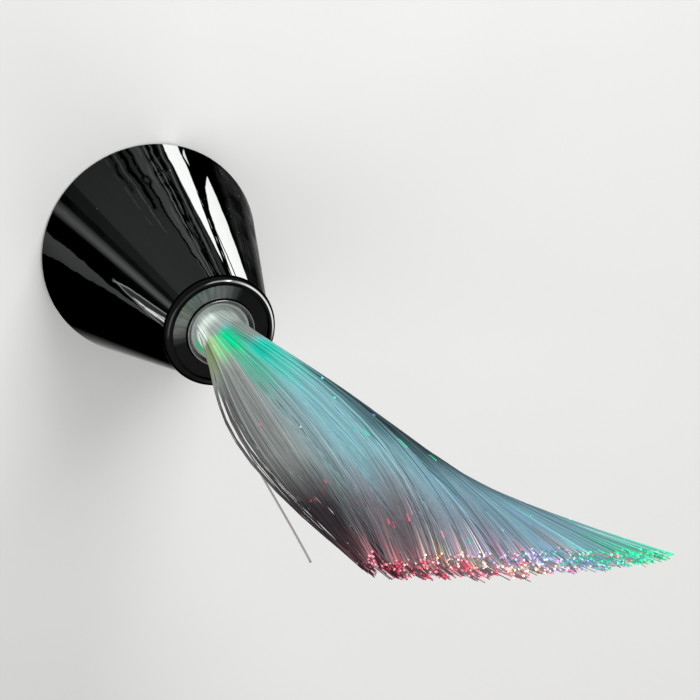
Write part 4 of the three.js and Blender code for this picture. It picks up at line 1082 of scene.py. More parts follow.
@dataclass
class Housing:
    """The spun cone with its turned-in foot and the hole for the switch."""

    lift: float = 1.0
    top: float = 108.5
    base_radius: float = 51.94
    top_radius: float = 23.6
    hem_bore: float = 49.4
    neck_bore: float = 17.2
    wall: float = 1.2
    foot_round: float = 0.55
    switch_height: float = 38.0
    switch_hole: float = 6.7
    steps: int = 256

    @property
    def slope(self) -> float:
        """How much the radius shrinks for each millimetre of height."""
        return (self.base_radius - self.top_radius) / (self.top - self.lift)

    def radius(self, height: float) -> float:
        """The cone's outer radius at a height."""
        return self.base_radius - self.slope * (height - self.lift)

    def switch_place(self) -> Matrix:
        """Stands +Z on the wall, at the switch's place on the back."""
        tilt = Matrix.Rotation(math.atan(self.slope) - math.pi / 2, 4, "X")
        spot = Vector((0, self.radius(self.switch_height), self.switch_height)) * MM
        return Matrix.Translation(spot) @ tilt

    def build(self) -> None:
        """Makes the cone."""
        across = self.wall * math.hypot(1, self.slope)
        seat = self.top - self.wall
        inside = self.lift + self.wall
        outline = rounded(
            [
                (self.hem_bore, self.lift, 0.3),
                (self.base_radius, self.lift, self.foot_round),
                (self.top_radius, self.top, 0.4),
                (self.neck_bore, self.top, 0.2),
                (self.neck_bore, seat, 0.2),
                (self.radius(seat) - across, seat, 0.5),
                (self.radius(inside) - across, inside, 0.3),
                (self.hem_bore, inside, 0.3),
            ]
        )
        cone = turned("cone_shell", outline, self.steps)
        reach = self.switch_hole
        hole = turned("hole", [(0, -reach), (reach, -reach), (reach, reach), (0, reach)], 64, False)
        placed(hole, self.switch_place())
        cut_by(cone, hole)
        settle(cone, Body.HOUSING, CONE, ["cone_housing"])


@dataclass
class Collar:
    """The rounded collar on the cone, and the raised ring round the bundle."""

    seat: float = 108.8
    shoulder_centre: float = 111.3
    shoulder_radius: float = 24.9
    shoulder_round: float = 2.9
    shoulder_rise: float = 3.2
    plate: float = 113.5
    sleeve_bottom: float = 99.0
    sleeve_radius: float = 16.9
    sleeve_bore: float = 15.2
    lip_bore: float = 13.55
    ledge: float = 1.7
    ring_bore: float = 14.2
    ring_radius: float = 14.9
    ring_bottom: float = 101.0
    ring_top: float = 115.1
    ring_foot_bore: float = 12.15
    groove_steps: Triple = (0.55, 0.8, 1.0)
    groove_depth: float = 0.25
    plate_round: float = 0.25
    shoulder_end: float = 97.0
    shoulder_steps: int = 16
    steps: int = 256
    ring_steps: int = 192

    def shoulder(self) -> list[Point]:
        """The rounded edge, from its foot over the crest to where it meets the groove."""
        centre = self.shoulder_radius - self.shoulder_round
        start = -math.asin((self.shoulder_centre - self.seat) / self.shoulder_rise)
        end = math.radians(self.shoulder_end)
        steps = self.shoulder_steps
        angles = [start + (end - start) * k / steps for k in range(steps + 1)]
        across, up = self.shoulder_round, self.shoulder_rise
        return [(centre + across * math.cos(a), self.shoulder_centre + up * math.sin(a)) for a in angles]

    def build(self) -> None:
        """Makes the collar and the ring."""
        crest = self.shoulder_radius - self.shoulder_round
        outer, inner, rim = (crest - inset for inset in self.groove_steps)
        low = self.plate - self.groove_depth
        step = self.sleeve_bottom + self.ledge
        outline = [
            (self.lip_bore, self.sleeve_bottom),
            (self.sleeve_radius, self.sleeve_bottom),
            (self.sleeve_radius, self.seat),
            *self.shoulder(),
            (outer, low),
            (inner, low),
            (rim, self.plate),
            *rounded_corner((self.sleeve_bore, self.plate), self.plate_round),
            (self.sleeve_bore, step),
            (self.lip_bore, step),
        ]
        collar = turned("collar_shell", outline, self.steps)
        settle(collar, Body.HOUSING, COLLAR, ["neck_collar"])
        ring = rounded(
            [
                (self.ring_foot_bore, self.ring_bottom, 0.1),
                (self.ring_radius, self.ring_bottom, 0.1),
                (self.ring_radius, self.ring_top, 0.3),
                (self.ring_bore, self.ring_top, 0.3),
                (self.ring_bore, self.ring_bottom + self.ledge, 0.1),
                (self.ring_foot_bore, self.ring_bottom + self.ledge, 0.1),
            ],
            5,
        )
        shell = turned("ring_shell", ring, self.ring_steps)
        settle(shell, Body.HOUSING, RING, ["aperture_ring"])


def rounded_corner(corner: Point, size: float, steps: int = 3) -> list[Point]:
    """The rounding at the inner edge of a flat plate, from the plate's top down into its bore."""
    radius, height = corner
    angles = [math.pi / 2 * (1 + k / steps) for k in range(steps + 1)]
    return [(radius + size + size * math.cos(a), height - size + size * math.sin(a)) for a in angles]


@dataclass(frozen=True)
class Zone:
    """A stretch of the spray that light gives a colour of its own.

    Across runs from -1 at the left of the fan to 1 at its right, and along from 0 at the root to 1.
    Each is given as the shares where the colour starts, is full, starts to fade and ends.
    """

    colour: Colour
    across: Limits
    along: Limits
    strength: float = 1.0

    def weight(self, across: float, along: float) -> float:
        """How much of the zone's colour a place on a strand takes."""
        return self.strength * window(self.across, across) * window(self.along, along)


@dataclass(frozen=True)
class Guide:
    """Bends of a guide fibre, and how far the back of the fan lags behind them, in fibre lengths."""

    bends: tuple[Triple, ...]
    lags: tuple[Triple, ...]

    def place(self, i: int, depth: float) -> Vector:
        """A bend at a share of the fan's depth."""
        return Vector(self.bends[i]) + depth * Vector(self.lags[i])


LEFT_GUIDE = Guide(
    ((0.051, -0.019, 0.284), (0.133, -0.195, 0.484), (0.055, -0.036, 0.981)),
    ((0.012, 0.041, -0.034), (0.041, 0.045, -0.071), (-0.033, 0.088, -0.007)),
)
MIDDLE_GUIDE = Guide(
    ((-0.016, -0.012, 0.343), (-0.082, 0.056, 0.665), (-0.091, 0.122, 0.979)),
    ((0.054, 0.042, -0.034), (0.071, 0.072, -0.047), (-0.043, 0.083, -0.011)),
)
RIGHT_GUIDE = Guide(
    ((-0.019, 0.046, 0.208), (-0.025, 0.154, 0.418), (-0.284, 0.411, 0.877)),
    ((-0.014, 0.001, -0.031), (-0.002, 0.025, -0.04), (0.004, 0.052, -0.033)),
)

LIGHT_ZONES = (
    Zone(screen(120, 156, 170), (-0.2, 0.1, 1.4, 1.6), (0.7, 0.86, 1.1, 1.2)),
    Zone(screen(58, 88, 96), (-0.2, 0.0, 0.2, 0.4), (0.42, 0.5, 0.7, 0.8), 0.85),
    Zone(screen(48, 70, 76), (0.1, 0.25, 0.42, 0.6), (0.5, 0.58, 0.76, 0.86), 0.85),
    Zone(screen(40, 60, 64), (0.38, 0.5, 0.72, 0.85), (0.58, 0.68, 0.81, 0.89), 0.85),
    Zone(screen(34, 50, 50), (0.72, 0.86, 1.4, 1.6), (0.6, 0.74, 0.86, 0.95), 0.85),
    Zone(screen(138, 142, 152), (-0.62, -0.46, -0.2, 0.05), (0.74, 0.88, 1.1, 1.2), 0.8),
    Zone(screen(126, 130, 142), (-0.25, -0.1, 0.12, 0.4), (0.86, 0.94, 1.1, 1.2), 0.8),
    Zone(screen(54, 55, 54), (-1.4, -1.2, -0.98, -0.86), (0.42, 0.56, 1.1, 1.2)),
    Zone(screen(116, 119, 116), (-1.0, -0.9, -0.86, -0.74), (0.36, 0.46, 0.64, 0.95), 0.8),
    Zone(screen(88, 176, 152), (-0.7, -0.62, -0.5, -0.42), (0.36, 0.41, 0.46, 0.6)),
    Zone(screen(96, 192, 184), (-0.5, -0.36, -0.16, 0.1), (0.38, 0.44, 0.47, 0.6)),
    Zone(screen(24, 190, 168), (-0.52, -0.42, -0.1, 0.2), (0.32, 0.355, 0.4, 0.47)),
    Zone(screen(20, 178, 140), (-0.52, -0.46, -0.38, -0.3), (0.205, 0.225, 0.31, 0.38)),
    Zone(screen(0, 208, 146), (-0.68, -0.61, -0.52, -0.42), (0.205, 0.225, 0.32, 0.42)),
    Zone(screen(92, 212, 148), (-0.8, -0.76, -0.7, -0.61), (0.205, 0.225, 0.29, 0.4)),
    Zone(screen(152, 208, 140), (-0.94, -0.9, -0.81, -0.76), (0.185, 0.21, 0.27, 0.4)),
    Zone(screen(126, 140, 106), (-1.4, -1.2, -0.93, -0.84), (0.14, 0.18, 0.32, 0.48)),
    Zone(screen(98, 146, 130), (-0.38, -0.32, -0.24, -0.16), (0.205, 0.23, 0.3, 0.36), 0.85),
    Zone(screen(126, 139, 133), (-0.24, -0.18, 1.4, 1.6), (-0.2, -0.1, 0.31, 0.345)),
    Zone(screen(160, 171, 165), (-1.5, -1.3, 1.4, 1.6), (-0.2, -0.1, 0.17, 0.215)),
    Zone(screen(128, 139, 134), (-0.6, -0.45, 1.4, 1.6), (-0.2, -0.1, 0.03, 0.08)),
    Zone(screen(214, 225, 219), (-1.5, -1.3, -0.45, -0.15), (0.02, 0.07, 0.115, 0.15)),
    Zone(screen(200, 214, 204), (-1.5, -1.3, -0.86, -0.76), (0.1, 0.13, 0.17, 0.21)),
    Zone(screen(104, 98, 103), (-0.75, -0.55, -0.35, 0.0), (0.8, 0.93, 1.1, 1.2)),
    Zone(screen(44, 38, 42), (-1.4, -1.2, -0.74, -0.5), (0.74, 0.9, 1.1, 1.2)),
)

# Places along a strand, closest where its colour changes fast
STRAND_SHARES = (
    0.0, 0.04, 0.075, 0.105, 0.135, 0.165, 0.19, 0.215, 0.24, 0.28, 0.315, 0.34, 0.365,
    0.4, 0.44, 0.5, 0.57, 0.64, 0.71, 0.78, 0.85, 0.9, 0.94, 0.97, 1.0,
)


@dataclass(frozen=True)
class Glint:
    """The lit end of a broken strand: its place in the fan, its colour, and millimetres."""

    across: float
    depth: float
    along: float
    colour: Colour
    length: float = 2.0
    size: float = 0.4


GLINTS = (
    Glint(-0.22, -0.94, 0.752, screen(20, 210, 160), 5.0, 0.3),
    Glint(-0.3, -0.92, 0.742, screen(30, 190, 150), 4.0, 0.26),
    Glint(0.05, -0.97, 0.778, screen(30, 214, 150), 6.0, 0.3),
    Glint(0.27, -0.95, 0.802, screen(20, 200, 130), 4.0, 0.3),
    Glint(-0.08, -0.98, 0.562, screen(60, 220, 220), 1.0, 0.42),
    Glint(-0.215, -0.95, 0.637, screen(60, 230, 180), 1.0, 0.4),
    Glint(0.03, -0.985, 0.692, screen(60, 120, 190), 1.5, 0.42),
    Glint(-0.84, -0.48, 0.684, screen(230, 60, 90), 1.0, 0.42),
    Glint(-0.63, -0.74, 0.714, screen(210, 200, 190), 1.0, 0.3),
    Glint(-0.69, -0.66, 0.855, screen(220, 60, 90), 2.5, 0.3),
    Glint(-0.42, -0.84, 0.94, screen(226, 66, 106), 2.5, 0.32),
    Glint(-0.39, -0.86, 0.947, screen(206, 56, 92), 3.0, 0.22),
    Glint(-0.27, -0.92, 0.937, screen(236, 80, 110), 3.5, 0.3),
    Glint(-0.09, -0.93, 0.965, screen(240, 120, 150), 3.0, 0.34),
    Glint(0.05, -0.93, 0.978, screen(40, 200, 150), 3.0, 0.28),
    Glint(-0.13, -0.96, 0.905, screen(60, 170, 160), 1.5, 0.3),
    Glint(-0.83, -0.47, 0.886, screen(150, 40, 60), 1.5, 0.3),
)

TIP_COLOURS = (
    (-1.0, (screen(150, 92, 104), screen(206, 150, 160), screen(206, 56, 84), screen(120, 88, 98))),
    (-0.7, (screen(232, 62, 96), screen(250, 130, 150), screen(206, 66, 92), screen(216, 160, 170))),
    (-0.35, (screen(238, 88, 118), screen(248, 150, 166), screen(246, 206, 190), screen(222, 64, 96))),
    (-0.1, (screen(250, 236, 208), screen(242, 150, 166), screen(226, 222, 140), screen(240, 196, 200))),
    (0.15, (screen(184, 158, 226), screen(244, 176, 200), screen(226, 232, 250), screen(226, 100, 130))),
    (0.4, (screen(148, 168, 236), screen(150, 226, 212), screen(226, 190, 210), screen(60, 205, 172))),
    (0.58, (screen(20, 205, 156), screen(120, 232, 200), screen(206, 150, 128), screen(8, 190, 150))),
    (0.84, (screen(0, 210, 134), screen(20, 226, 150), screen(0, 184, 118), screen(90, 240, 184))),
)


@dataclass
class Spray:
    """The ferrule and the fan of light fibres that stands in it.

    Places across and through the fan run from -1 to 1, and along a strand from 0 to 1. Lengths are in
    millimetres, and bends in shares of a strand's length. Chances and ranges make strands differ.
    """

    length: float = 235.0
    bundle_radius: float = 9.8
    strand_radius: float = 0.17
    count: int = 2500
    shares: tuple[float, ...] = STRAND_SHARES
    sides: int = 4
    stub: float = 10.0
    root_height: float = 109.7
    potting_top: float = 110.2
    potting_bottom: float = 86.0
    potting_radius: float = 10.15
    ferrule_radius: float = 13.05
    ferrule_stem: float = 11.85
    ferrule_bottom: float = 84.0
    ferrule_shelf: float = 103.0
    ferrule_top: float = 113.2
    ferrule_flare: float = 1.5
    fan_angle: float = 143.13
    cut_shares: tuple[float, ...] = (-1.0, -0.42, 0.0, 0.42, 1.0)
    guides: tuple[Guide, ...] = (LEFT_GUIDE, MIDDLE_GUIDE, RIGHT_GUIDE)
    zones: tuple[Zone, ...] = LIGHT_ZONES
    left_colour: Colour = screen(141, 147, 146)
    right_colour: Colour = screen(130, 176, 184)
    colour_turn: Span = (-0.76, -0.38)
    clump_count: int = 110
    clump_pull: float = 0.6
    clump_pulls: Span = (0.5, 1.0)
    clump_spread: float = 1.06
    clump_jitter: float = 0.02
    clump_cut: float = 0.004
    overshoot: float = 1.012
    reach: float = 0.999
    reach_jitter: float = 0.003
    short_share: float = 0.06
    short_cuts: Span = (0.02, 0.15)
    short_from: float = -0.85
    drift: float = 0.45
    drift_up: float = 0.4
    swing: float = 0.35
    waves: Span = (2.0, 4.5)
    eased: Span = (0.05, 0.6)
    levels: Span = (0.8, 1.15)
    dim_levels: Span = (0.4, 0.6)
    dim_share: float = 0.1
    bright_levels: Span = (1.25, 1.75)
    bright_from: float = 0.93
    tip_jitter: float = 0.1
    green_side: Span = (0.45, 0.8)
    pale_side: Span = (-0.6, -0.3)
    blush_lengths: Span = (0.02, 0.07)
    glint_rise: float = 0.9
    warm_share: float = 0.9
    warm_chance: float = 0.3
    warm_colour: Colour = screen(232, 222, 198)
    warm_across: Limits = (-0.86, -0.8, -0.72, -0.66)
    warm_along: Limits = (0.17, 0.21, 0.3, 0.5)
    dull_share: float = 0.7
    dull_chance: float = 0.6
    dull_along: Limits = (0.4, 0.52, 0.74, 0.86)
    dull_skin: Span = (0.7, 0.9)
    dull_across: Span = (-0.15, 0.1)
    dull_depth: Span = (-0.1, -0.4)
    stray_strands: int = 5
    stray_width: float = 0.55
    stray_bead: float = 0.4
    stray_chip: Span = (0.742, 0.77)
    stray_root: Point = (-0.93, -0.2)
    stray_bends: tuple[Triple, ...] = ((0.096, -0.019, 0.249), (0.086, -0.048, 0.517), (0.115, -0.057, 0.862))
    chip_steps: int = 6
    chip_bead: float = 0.45
    seed: int = 7

    def __post_init__(self) -> None:
        """Works out the fan's axes, the middle of its root and the clumps that strands gather in."""
        turn = math.radians(self.fan_angle)
        self.across_axis = Vector((math.cos(turn), math.sin(turn), 0.0))
        self.depth_axis = Vector((math.sin(turn), -math.cos(turn), 0.0))
        self.root = Vector((0.0, 0.0, self.root_height))
        self.random = random.Random(self.seed)
        self.clumps = [
            (
                across * self.clump_spread + self.random.gauss(0.0, self.clump_jitter),
                depth * self.clump_spread + self.random.gauss(0.0, self.clump_jitter),
                abs(self.random.gauss(0.0, self.clump_cut)),
            )
            for across, depth in self.disc(self.clump_count)
        ]

    @staticmethod
    def disc(count: int) -> list[Point]:
        """Places spread evenly over a disc of radius 1."""
        golden = math.pi * (3 - math.sqrt(5))
        radii = [math.sqrt((i + 0.5) / count) for i in range(count)]
        return [(r * math.cos(i * golden), r * math.sin(i * golden)) for i, r in enumerate(radii)]

    def controls(self, across: float, depth: float, wide: float, deep: float) -> list[Vector]:
        """The five control points of a strand.

        Args:
            across: its place on the root, across the fan.
            depth: its place on the root, through the fan.
            wide: its place in the spread fan, across.
            deep: its place in the spread fan, through its depth.

        Returns:
            The root, the top of the straight stub and three bends.
        """
        start = self.root + self.bundle_radius * (across * self.across_axis + depth * self.depth_axis)
        weights = (wide * (wide - 1) / 2, 1 - wide * wide, wide * (wide + 1) / 2)
        bends = []
        for i in range(3):
            pulls = (w * guide.place(i, deep) for w, guide in zip(weights, self.guides))
            bends.append(self.root + self.length * sum(pulls, Vector((0, 0, 0))))
        return [start, start + Vector((0.0, 0.0, self.stub)), *bends]

    @staticmethod
    def curve(controls: Sequence[Vector], along: float) -> Vector:
        """A point of the Bezier curve."""
        row = list(controls)
        while len(row) > 1:
            row = [a.lerp(b, along) for a, b in zip(row, row[1:])]
        return row[0]

    def colour(self, across: float, along: float) -> Colour:
        """The colour of a place on a strand."""
        made = mixed(self.left_colour, self.right_colour, smooth(*self.colour_turn, across))
        for zone in self.zones:
            made = mixed(made, zone.colour, zone.weight(across, along))
        return made

    def tip_colour(self, across: float) -> Colour:
        """A colour for the end of a strand, chosen from those near its place in the fan."""
        wanted = across + self.random.gauss(0.0, self.tip_jitter)
        _, colours = min(TIP_COLOURS, key=lambda entry: abs(entry[0] - wanted))
        return self.random.choice(colours)

    def level(self) -> float:
        """How bright a strand is; a few are dim, and a few are bright."""
        kind = self.random.random()
        level = self.random.uniform(*(self.dim_levels if kind < self.dim_share else self.levels))
        return self.random.uniform(*self.bright_levels) if kind > self.bright_from else level

    def strand(self, lines: "Lines", across: float, depth: float) -> None:
        """Adds one strand with its bends, colours and tip."""
        draw = self.random
        middle, back, cut = min(self.clumps, key=lambda c: (c[0] - across) ** 2 + (c[1] - depth) ** 2)
        pull = self.clump_pull * draw.uniform(*self.clump_pulls)
        wide, deep = across + (middle - across) * pull, depth + (back - depth) * pull
        inside = 1 / max(1.0, math.hypot(wide, deep) / self.overshoot)
        controls = self.controls(across, depth, wide * inside, deep * inside)
        reach = self.reach - cut - abs(draw.gauss(0.0, self.reach_jitter))
        if draw.random() < self.short_share and across > self.short_from:
            reach -= draw.uniform(*self.short_cuts)
        drift = Vector((draw.gauss(0, 1), draw.gauss(0, 1), draw.gauss(0, self.drift_up))) * self.drift
        wave, phase = draw.uniform(*self.waves), draw.uniform(0, math.tau)
        swing = Vector((draw.gauss(0, 1), draw.gauss(0, 1), 0.0)) * self.swing
        level = self.level()
        tip = self.tip_colour(across)
        lit = draw.random()
        # Towards the green side more of each strand is coloured, and its bead is larger and brighter
        green, pale = smooth(*self.green_side, across), smooth(*self.pale_side, across)
        spread = draw.uniform(*self.blush_lengths) + 0.03 * green
        blush = (0.6 + 0.25 * pale) * smooth(0.3 - 0.3 * green, 0.85, lit)
        lines.begin()
        warm = self.warm_share * (draw.random() < self.warm_chance) * window(self.warm_across, across)
        skin = smooth(*self.dull_skin, math.hypot(across, depth))
        skin = skin * smooth(*self.dull_across, across) * smooth(*self.dull_depth, depth)
        dull = self.dull_share * skin * (draw.random() < self.dull_chance)
        for share in self.shares:
            along = reach * share
            bent = along * drift + swing * math.sin(phase + wave * along)
            place = self.curve(controls, along) + smooth(*self.eased, along) * bent
            colour = mixed(self.colour(across, along), tip, blush * smooth(reach - spread, reach, along))
            colour = mixed(colour, self.warm_colour, warm * window(self.warm_along, along))
            here = level * (1 - dull * window(self.dull_along, along))
            lines.add(place, tuple(min(1.0, here * c) for c in colour))
        bright = 0.16 + 0.3 * green + (0.85 + 0.15 * pale) * smooth(0.5, 0.97, lit)
        size = 0.18 + 0.08 * green + 0.28 * smooth(0.5, 1.0, lit)
        lines.end(tuple(bright * c for c in tip), size)

    def ferrule(self) -> bpy.types.Object:
        """The milky ferrule."""
        bore = self.potting_radius + 0.3
        foot = self.potting_radius - 1.0
        return turned(
            "ferrule_shell",
            rounded(
                [
                    (foot, self.ferrule_bottom, 0.2),
                    (self.ferrule_stem, self.ferrule_bottom, 0.3),
                    (self.ferrule_stem, self.ferrule_shelf, 0.1),
                    (self.ferrule_radius, self.ferrule_shelf, 0.2),
                    (self.ferrule_radius, self.ferrule_top, 0.5),
                    (bore + self.ferrule_flare, self.ferrule_top, 0.4),
                    (bore, self.potting_top, 0.3),
                    (bore, self.potting_bottom - 0.3, 0.1),
                    (foot, self.potting_bottom - 0.3, 0.1),
                ],
                6,
            ),
            160,
        )

    def slice_of(self, across: float) -> int:
        """The slice of the fan that a place belongs to."""
        return next(k for k, cut in enumerate(self.cut_shares[1:]) if across <= cut or cut == 1.0)

    def build(self) -> None:
        """Makes the ferrule, the potting and the four slices of the fan."""
        settle(self.ferrule(), Body.SPRAY, FROSTED, ["bundle_ferrule"])
        potting = rounded(
            [
                (0.0, self.potting_bottom),
                (self.potting_radius, self.potting_bottom, 0.3),
                (self.potting_radius, self.potting_top, 0.4),
                (0.0, self.potting_top),
            ]
        )
        settle(turned("bundle_potting", potting, 96, False), Body.SPRAY, POTTING)
        slices = [Lines() for _ in self.cut_shares[1:]]
        for across, depth in self.disc(self.count):
            self.strand(slices[self.slice_of(across)], across, depth)
        self.strays(slices[0])
        for glint in GLINTS:
            self.glint(slices[self.slice_of(glint.across)], glint)
        tree = strand_tree()
        sizes = {
            "Strand Radius": self.strand_radius * MM,
            "Sides": self.sides,
            "Bead Size": MM,
            "Strand Material": STRAND.material(),
            "Tip Material": TIP.material(),
        }
        for lines, side in zip(slices, ("left", "mid_left", "mid_right", "right")):
            spray = tree.bake(lines.object(f"spray_{side}"), sizes)
            settle(spray, Body.SPRAY, None, [f"fiber_fan_{side}"])

    def glint(self, lines: "Lines", glint: "Glint") -> None:
        """Adds the lit end of a short strand, just in front of the fan."""
        controls = self.controls(glint.across, glint.depth, glint.across, glint.depth)
        forward = -self.glint_rise * self.depth_axis
        steps = max(2, round(2 * glint.length))
        thin, growth = 0.5, 0.4
        lines.begin()
        for k in range(steps + 1):
            share = k / steps
            along = glint.along - glint.length / self.length * (1 - share)
            place = self.curve(controls, along) + forward * smooth(-0.2, 0.4, share)
            lines.add(place, glint.colour, glint.size * (thin + growth * share))
        lines.end(glint.colour, glint.size)

    def strays(self, lines: "Lines") -> None:
        """Adds the strand that has slipped out of the fan."""
        controls = self.controls(*self.stray_root, *self.stray_root)[:2]
        controls += [self.root + self.length * Vector(bend) for bend in self.stray_bends]
        pale, warm = screen(128, 128, 134), screen(156, 152, 152)
        for turn in range(self.stray_strands):
            angle = math.tau * turn / self.stray_strands
            offset = Vector((math.cos(angle), math.sin(angle), 0.0)) * self.stray_width / 2
            lines.begin()
            for along in self.shares:
                lines.add(self.curve(controls, along) + offset, mixed(pale, warm, along))
        lines.end(mixed(UNLIT, warm, 0.5), self.stray_bead)
        lines.begin()
        start, end = self.stray_chip
        for k in range(self.chip_steps + 1):
            place = self.curve(controls, start + (end - start) * k / self.chip_steps)
            lines.add(place - self.stray_width * self.depth_axis, screen(214, 212, 224), self.stray_bead)
        lines.end(screen(232, 230, 236), self.chip_bead)


class Lines:
    """Strands as chains of points, with the light that they carry."""

    def __init__(self) -> None:
        """Starts with no strand."""
        self.places: list[Vector] = []
        self.edges: list[tuple[int, int]] = []
        self.lights: list[Colour] = []
        self.beads: list[float] = []
        self.first = 0

    def begin(self) -> None:
        """Starts a strand."""
        self.first = len(self.places)

    def add(self, place: Vector, light: Colour, bead: float = 0.0) -> None:
        """Adds the strand's next point."""
        if len(self.places) > self.first:
            self.edges.append((len(self.places) - 1, len(self.places)))
        self.places.append(place * MM)
        self.lights.append(light)
        self.beads.append(bead)

    def end(self, light: Colour, bead: float) -> None:
        """Ends the strand in a bead of its own light and size in millimetres."""
        self.first = len(self.places)
        self.add(self.places[-1] / MM, light, bead)

    def object(self, name: str) -> bpy.types.Object:
        """The chains as an object that carries light and bead as attributes."""
        mesh = bpy.data.meshes.new(name)
        mesh.from_pydata(self.places, self.edges, [])
        lights = mesh.attributes.new("light", "FLOAT_COLOR", "POINT")
        lights.data.foreach_set("color", [c for colour in self.lights for c in (*colour, 1.0)])
        mesh.attributes.new("bead", "FLOAT", "POINT").data.foreach_set("value", self.beads)
        return linked(name, mesh)


def strand_tree() -> Geometry:
    """The tree that turns chains of points into tubes and puts a bead on each end."""
    sizes = {
        "Strand Radius": "Float",
        "Sides": "Int",
        "Bead Size": "Float",
        "Strand Material": "Material",
        "Tip Material": "Material",
    }
    tree = Geometry("strands", sizes)
    chains = tree.given("Geometry")
    radius, sides, bead_size, strand, tip = (tree.given(name) for name in sizes)
    profile = tree.make("CurvePrimitiveCircle", Resolution=sides, Radius=radius)
    curves = tree.make("MeshToCurve", Mesh=chains)
    tubes = tree.make("CurveToMesh", Curve=curves, Profile_Curve=profile, Fill_Caps=True)
    size = tree.node("GeometryNodeInputNamedAttribute", {"data_type": "FLOAT"}, {"Name": "bead"})
    tips = tree.node("FunctionNodeCompare", {"operation": "GREATER_THAN"}, {0: size, 1: 0.0})
    bead = tree.coated(tree.smoothed(tree.make("MeshIcoSphere", Radius=bead_size, Subdivisions=1)), tip)
    beads = tree.make("InstanceOnPoints", Points=chains, Selection=tips, Instance=bead, Scale=size)
    tree.finish(tree.join([tree.coated(tree.smoothed(tubes), strand), beads]))
    return tree


def ring_tree() -> Geometry:
    """The tree that sets copies of a piece on a circle round the Z axis."""
    sizes = {"Count": "Int", "Radius": "Float", "Turn": "Float", "Material": "Material"}
    tree = Geometry("ring_of_copies", sizes)
    count, radius, angle, material = (tree.given(name) for name in sizes)
    turn = tree.node("ShaderNodeCombineXYZ", None, {"Z": angle})
    circle = tree.make("MeshCircle", Vertices=count, Radius=radius)
    circle = tree.make("Transform", Geometry=circle, Rotation=turn)
    copies = tree.make("InstanceOnPoints", Points=circle, Instance=tree.given("Geometry"))
    tree.finish(copies, material)
    return tree


@dataclass
class Switch:
    """The push switch in the back of the cone."""

    place: Matrix
    barrel: float = 6.4
    barrel_bore: float = 5.5
    barrel_bottom: float = -6.2
    flange: float = 7.8
    top: float = 1.5
    gap: float = 0.3
    button: float = 4.5
    button_flange: float = 5.2
    flange_top: float = -2.1
    flange_bottom: float = -3.3
    button_top: float = 4.5
    button_round: float = 0.9
    dish: float = 0.35
    dish_edge: float = 0.6

    def build(self) -> None:
        """Makes the bezel and the button."""
        bore = self.button + self.gap
        bezel = rounded(
            [
                (self.barrel_bore, self.barrel_bottom, 0.15),
                (self.barrel, self.barrel_bottom, 0.15),
                (self.barrel, self.gap, 0.1),
                (self.flange, self.gap, 0.25),
                (self.flange, self.top, 0.6),
                (bore, self.top, 0.35),
                (bore, self.flange_top + self.gap, 0.1),
                (self.barrel_bore, self.flange_top + self.gap, 0.1),
            ],
            6,
        )
        body = placed(turned("bezel_ring", bezel, 128), self.place)
        settle(body, Body.HOUSING, BEZEL, ["switch_bezel"])
        dished = self.button_top - self.dish
        button = [
            (0.0, self.flange_bottom),
            *rounded(
                [
                    (0.5, self.flange_bottom),
                    (self.button_flange, self.flange_bottom, 0.2),
                    (self.button_flange, self.flange_top, 0.2),
                    (self.button, self.flange_top, 0.1),
                    (self.button, self.button_top, self.button_round),
                    (self.button * self.dish_edge, self.button_top - self.dish * self.dish_edge, 1.0),
                    (0.5, dished),
                ],
                6,
            ),
            (0.0, dished),
        ]
        cap = placed(turned("button_cap", button, 96, False), self.place)
        settle(cap, Body.BUTTON, BUTTON_BLACK, ["switch_button"])


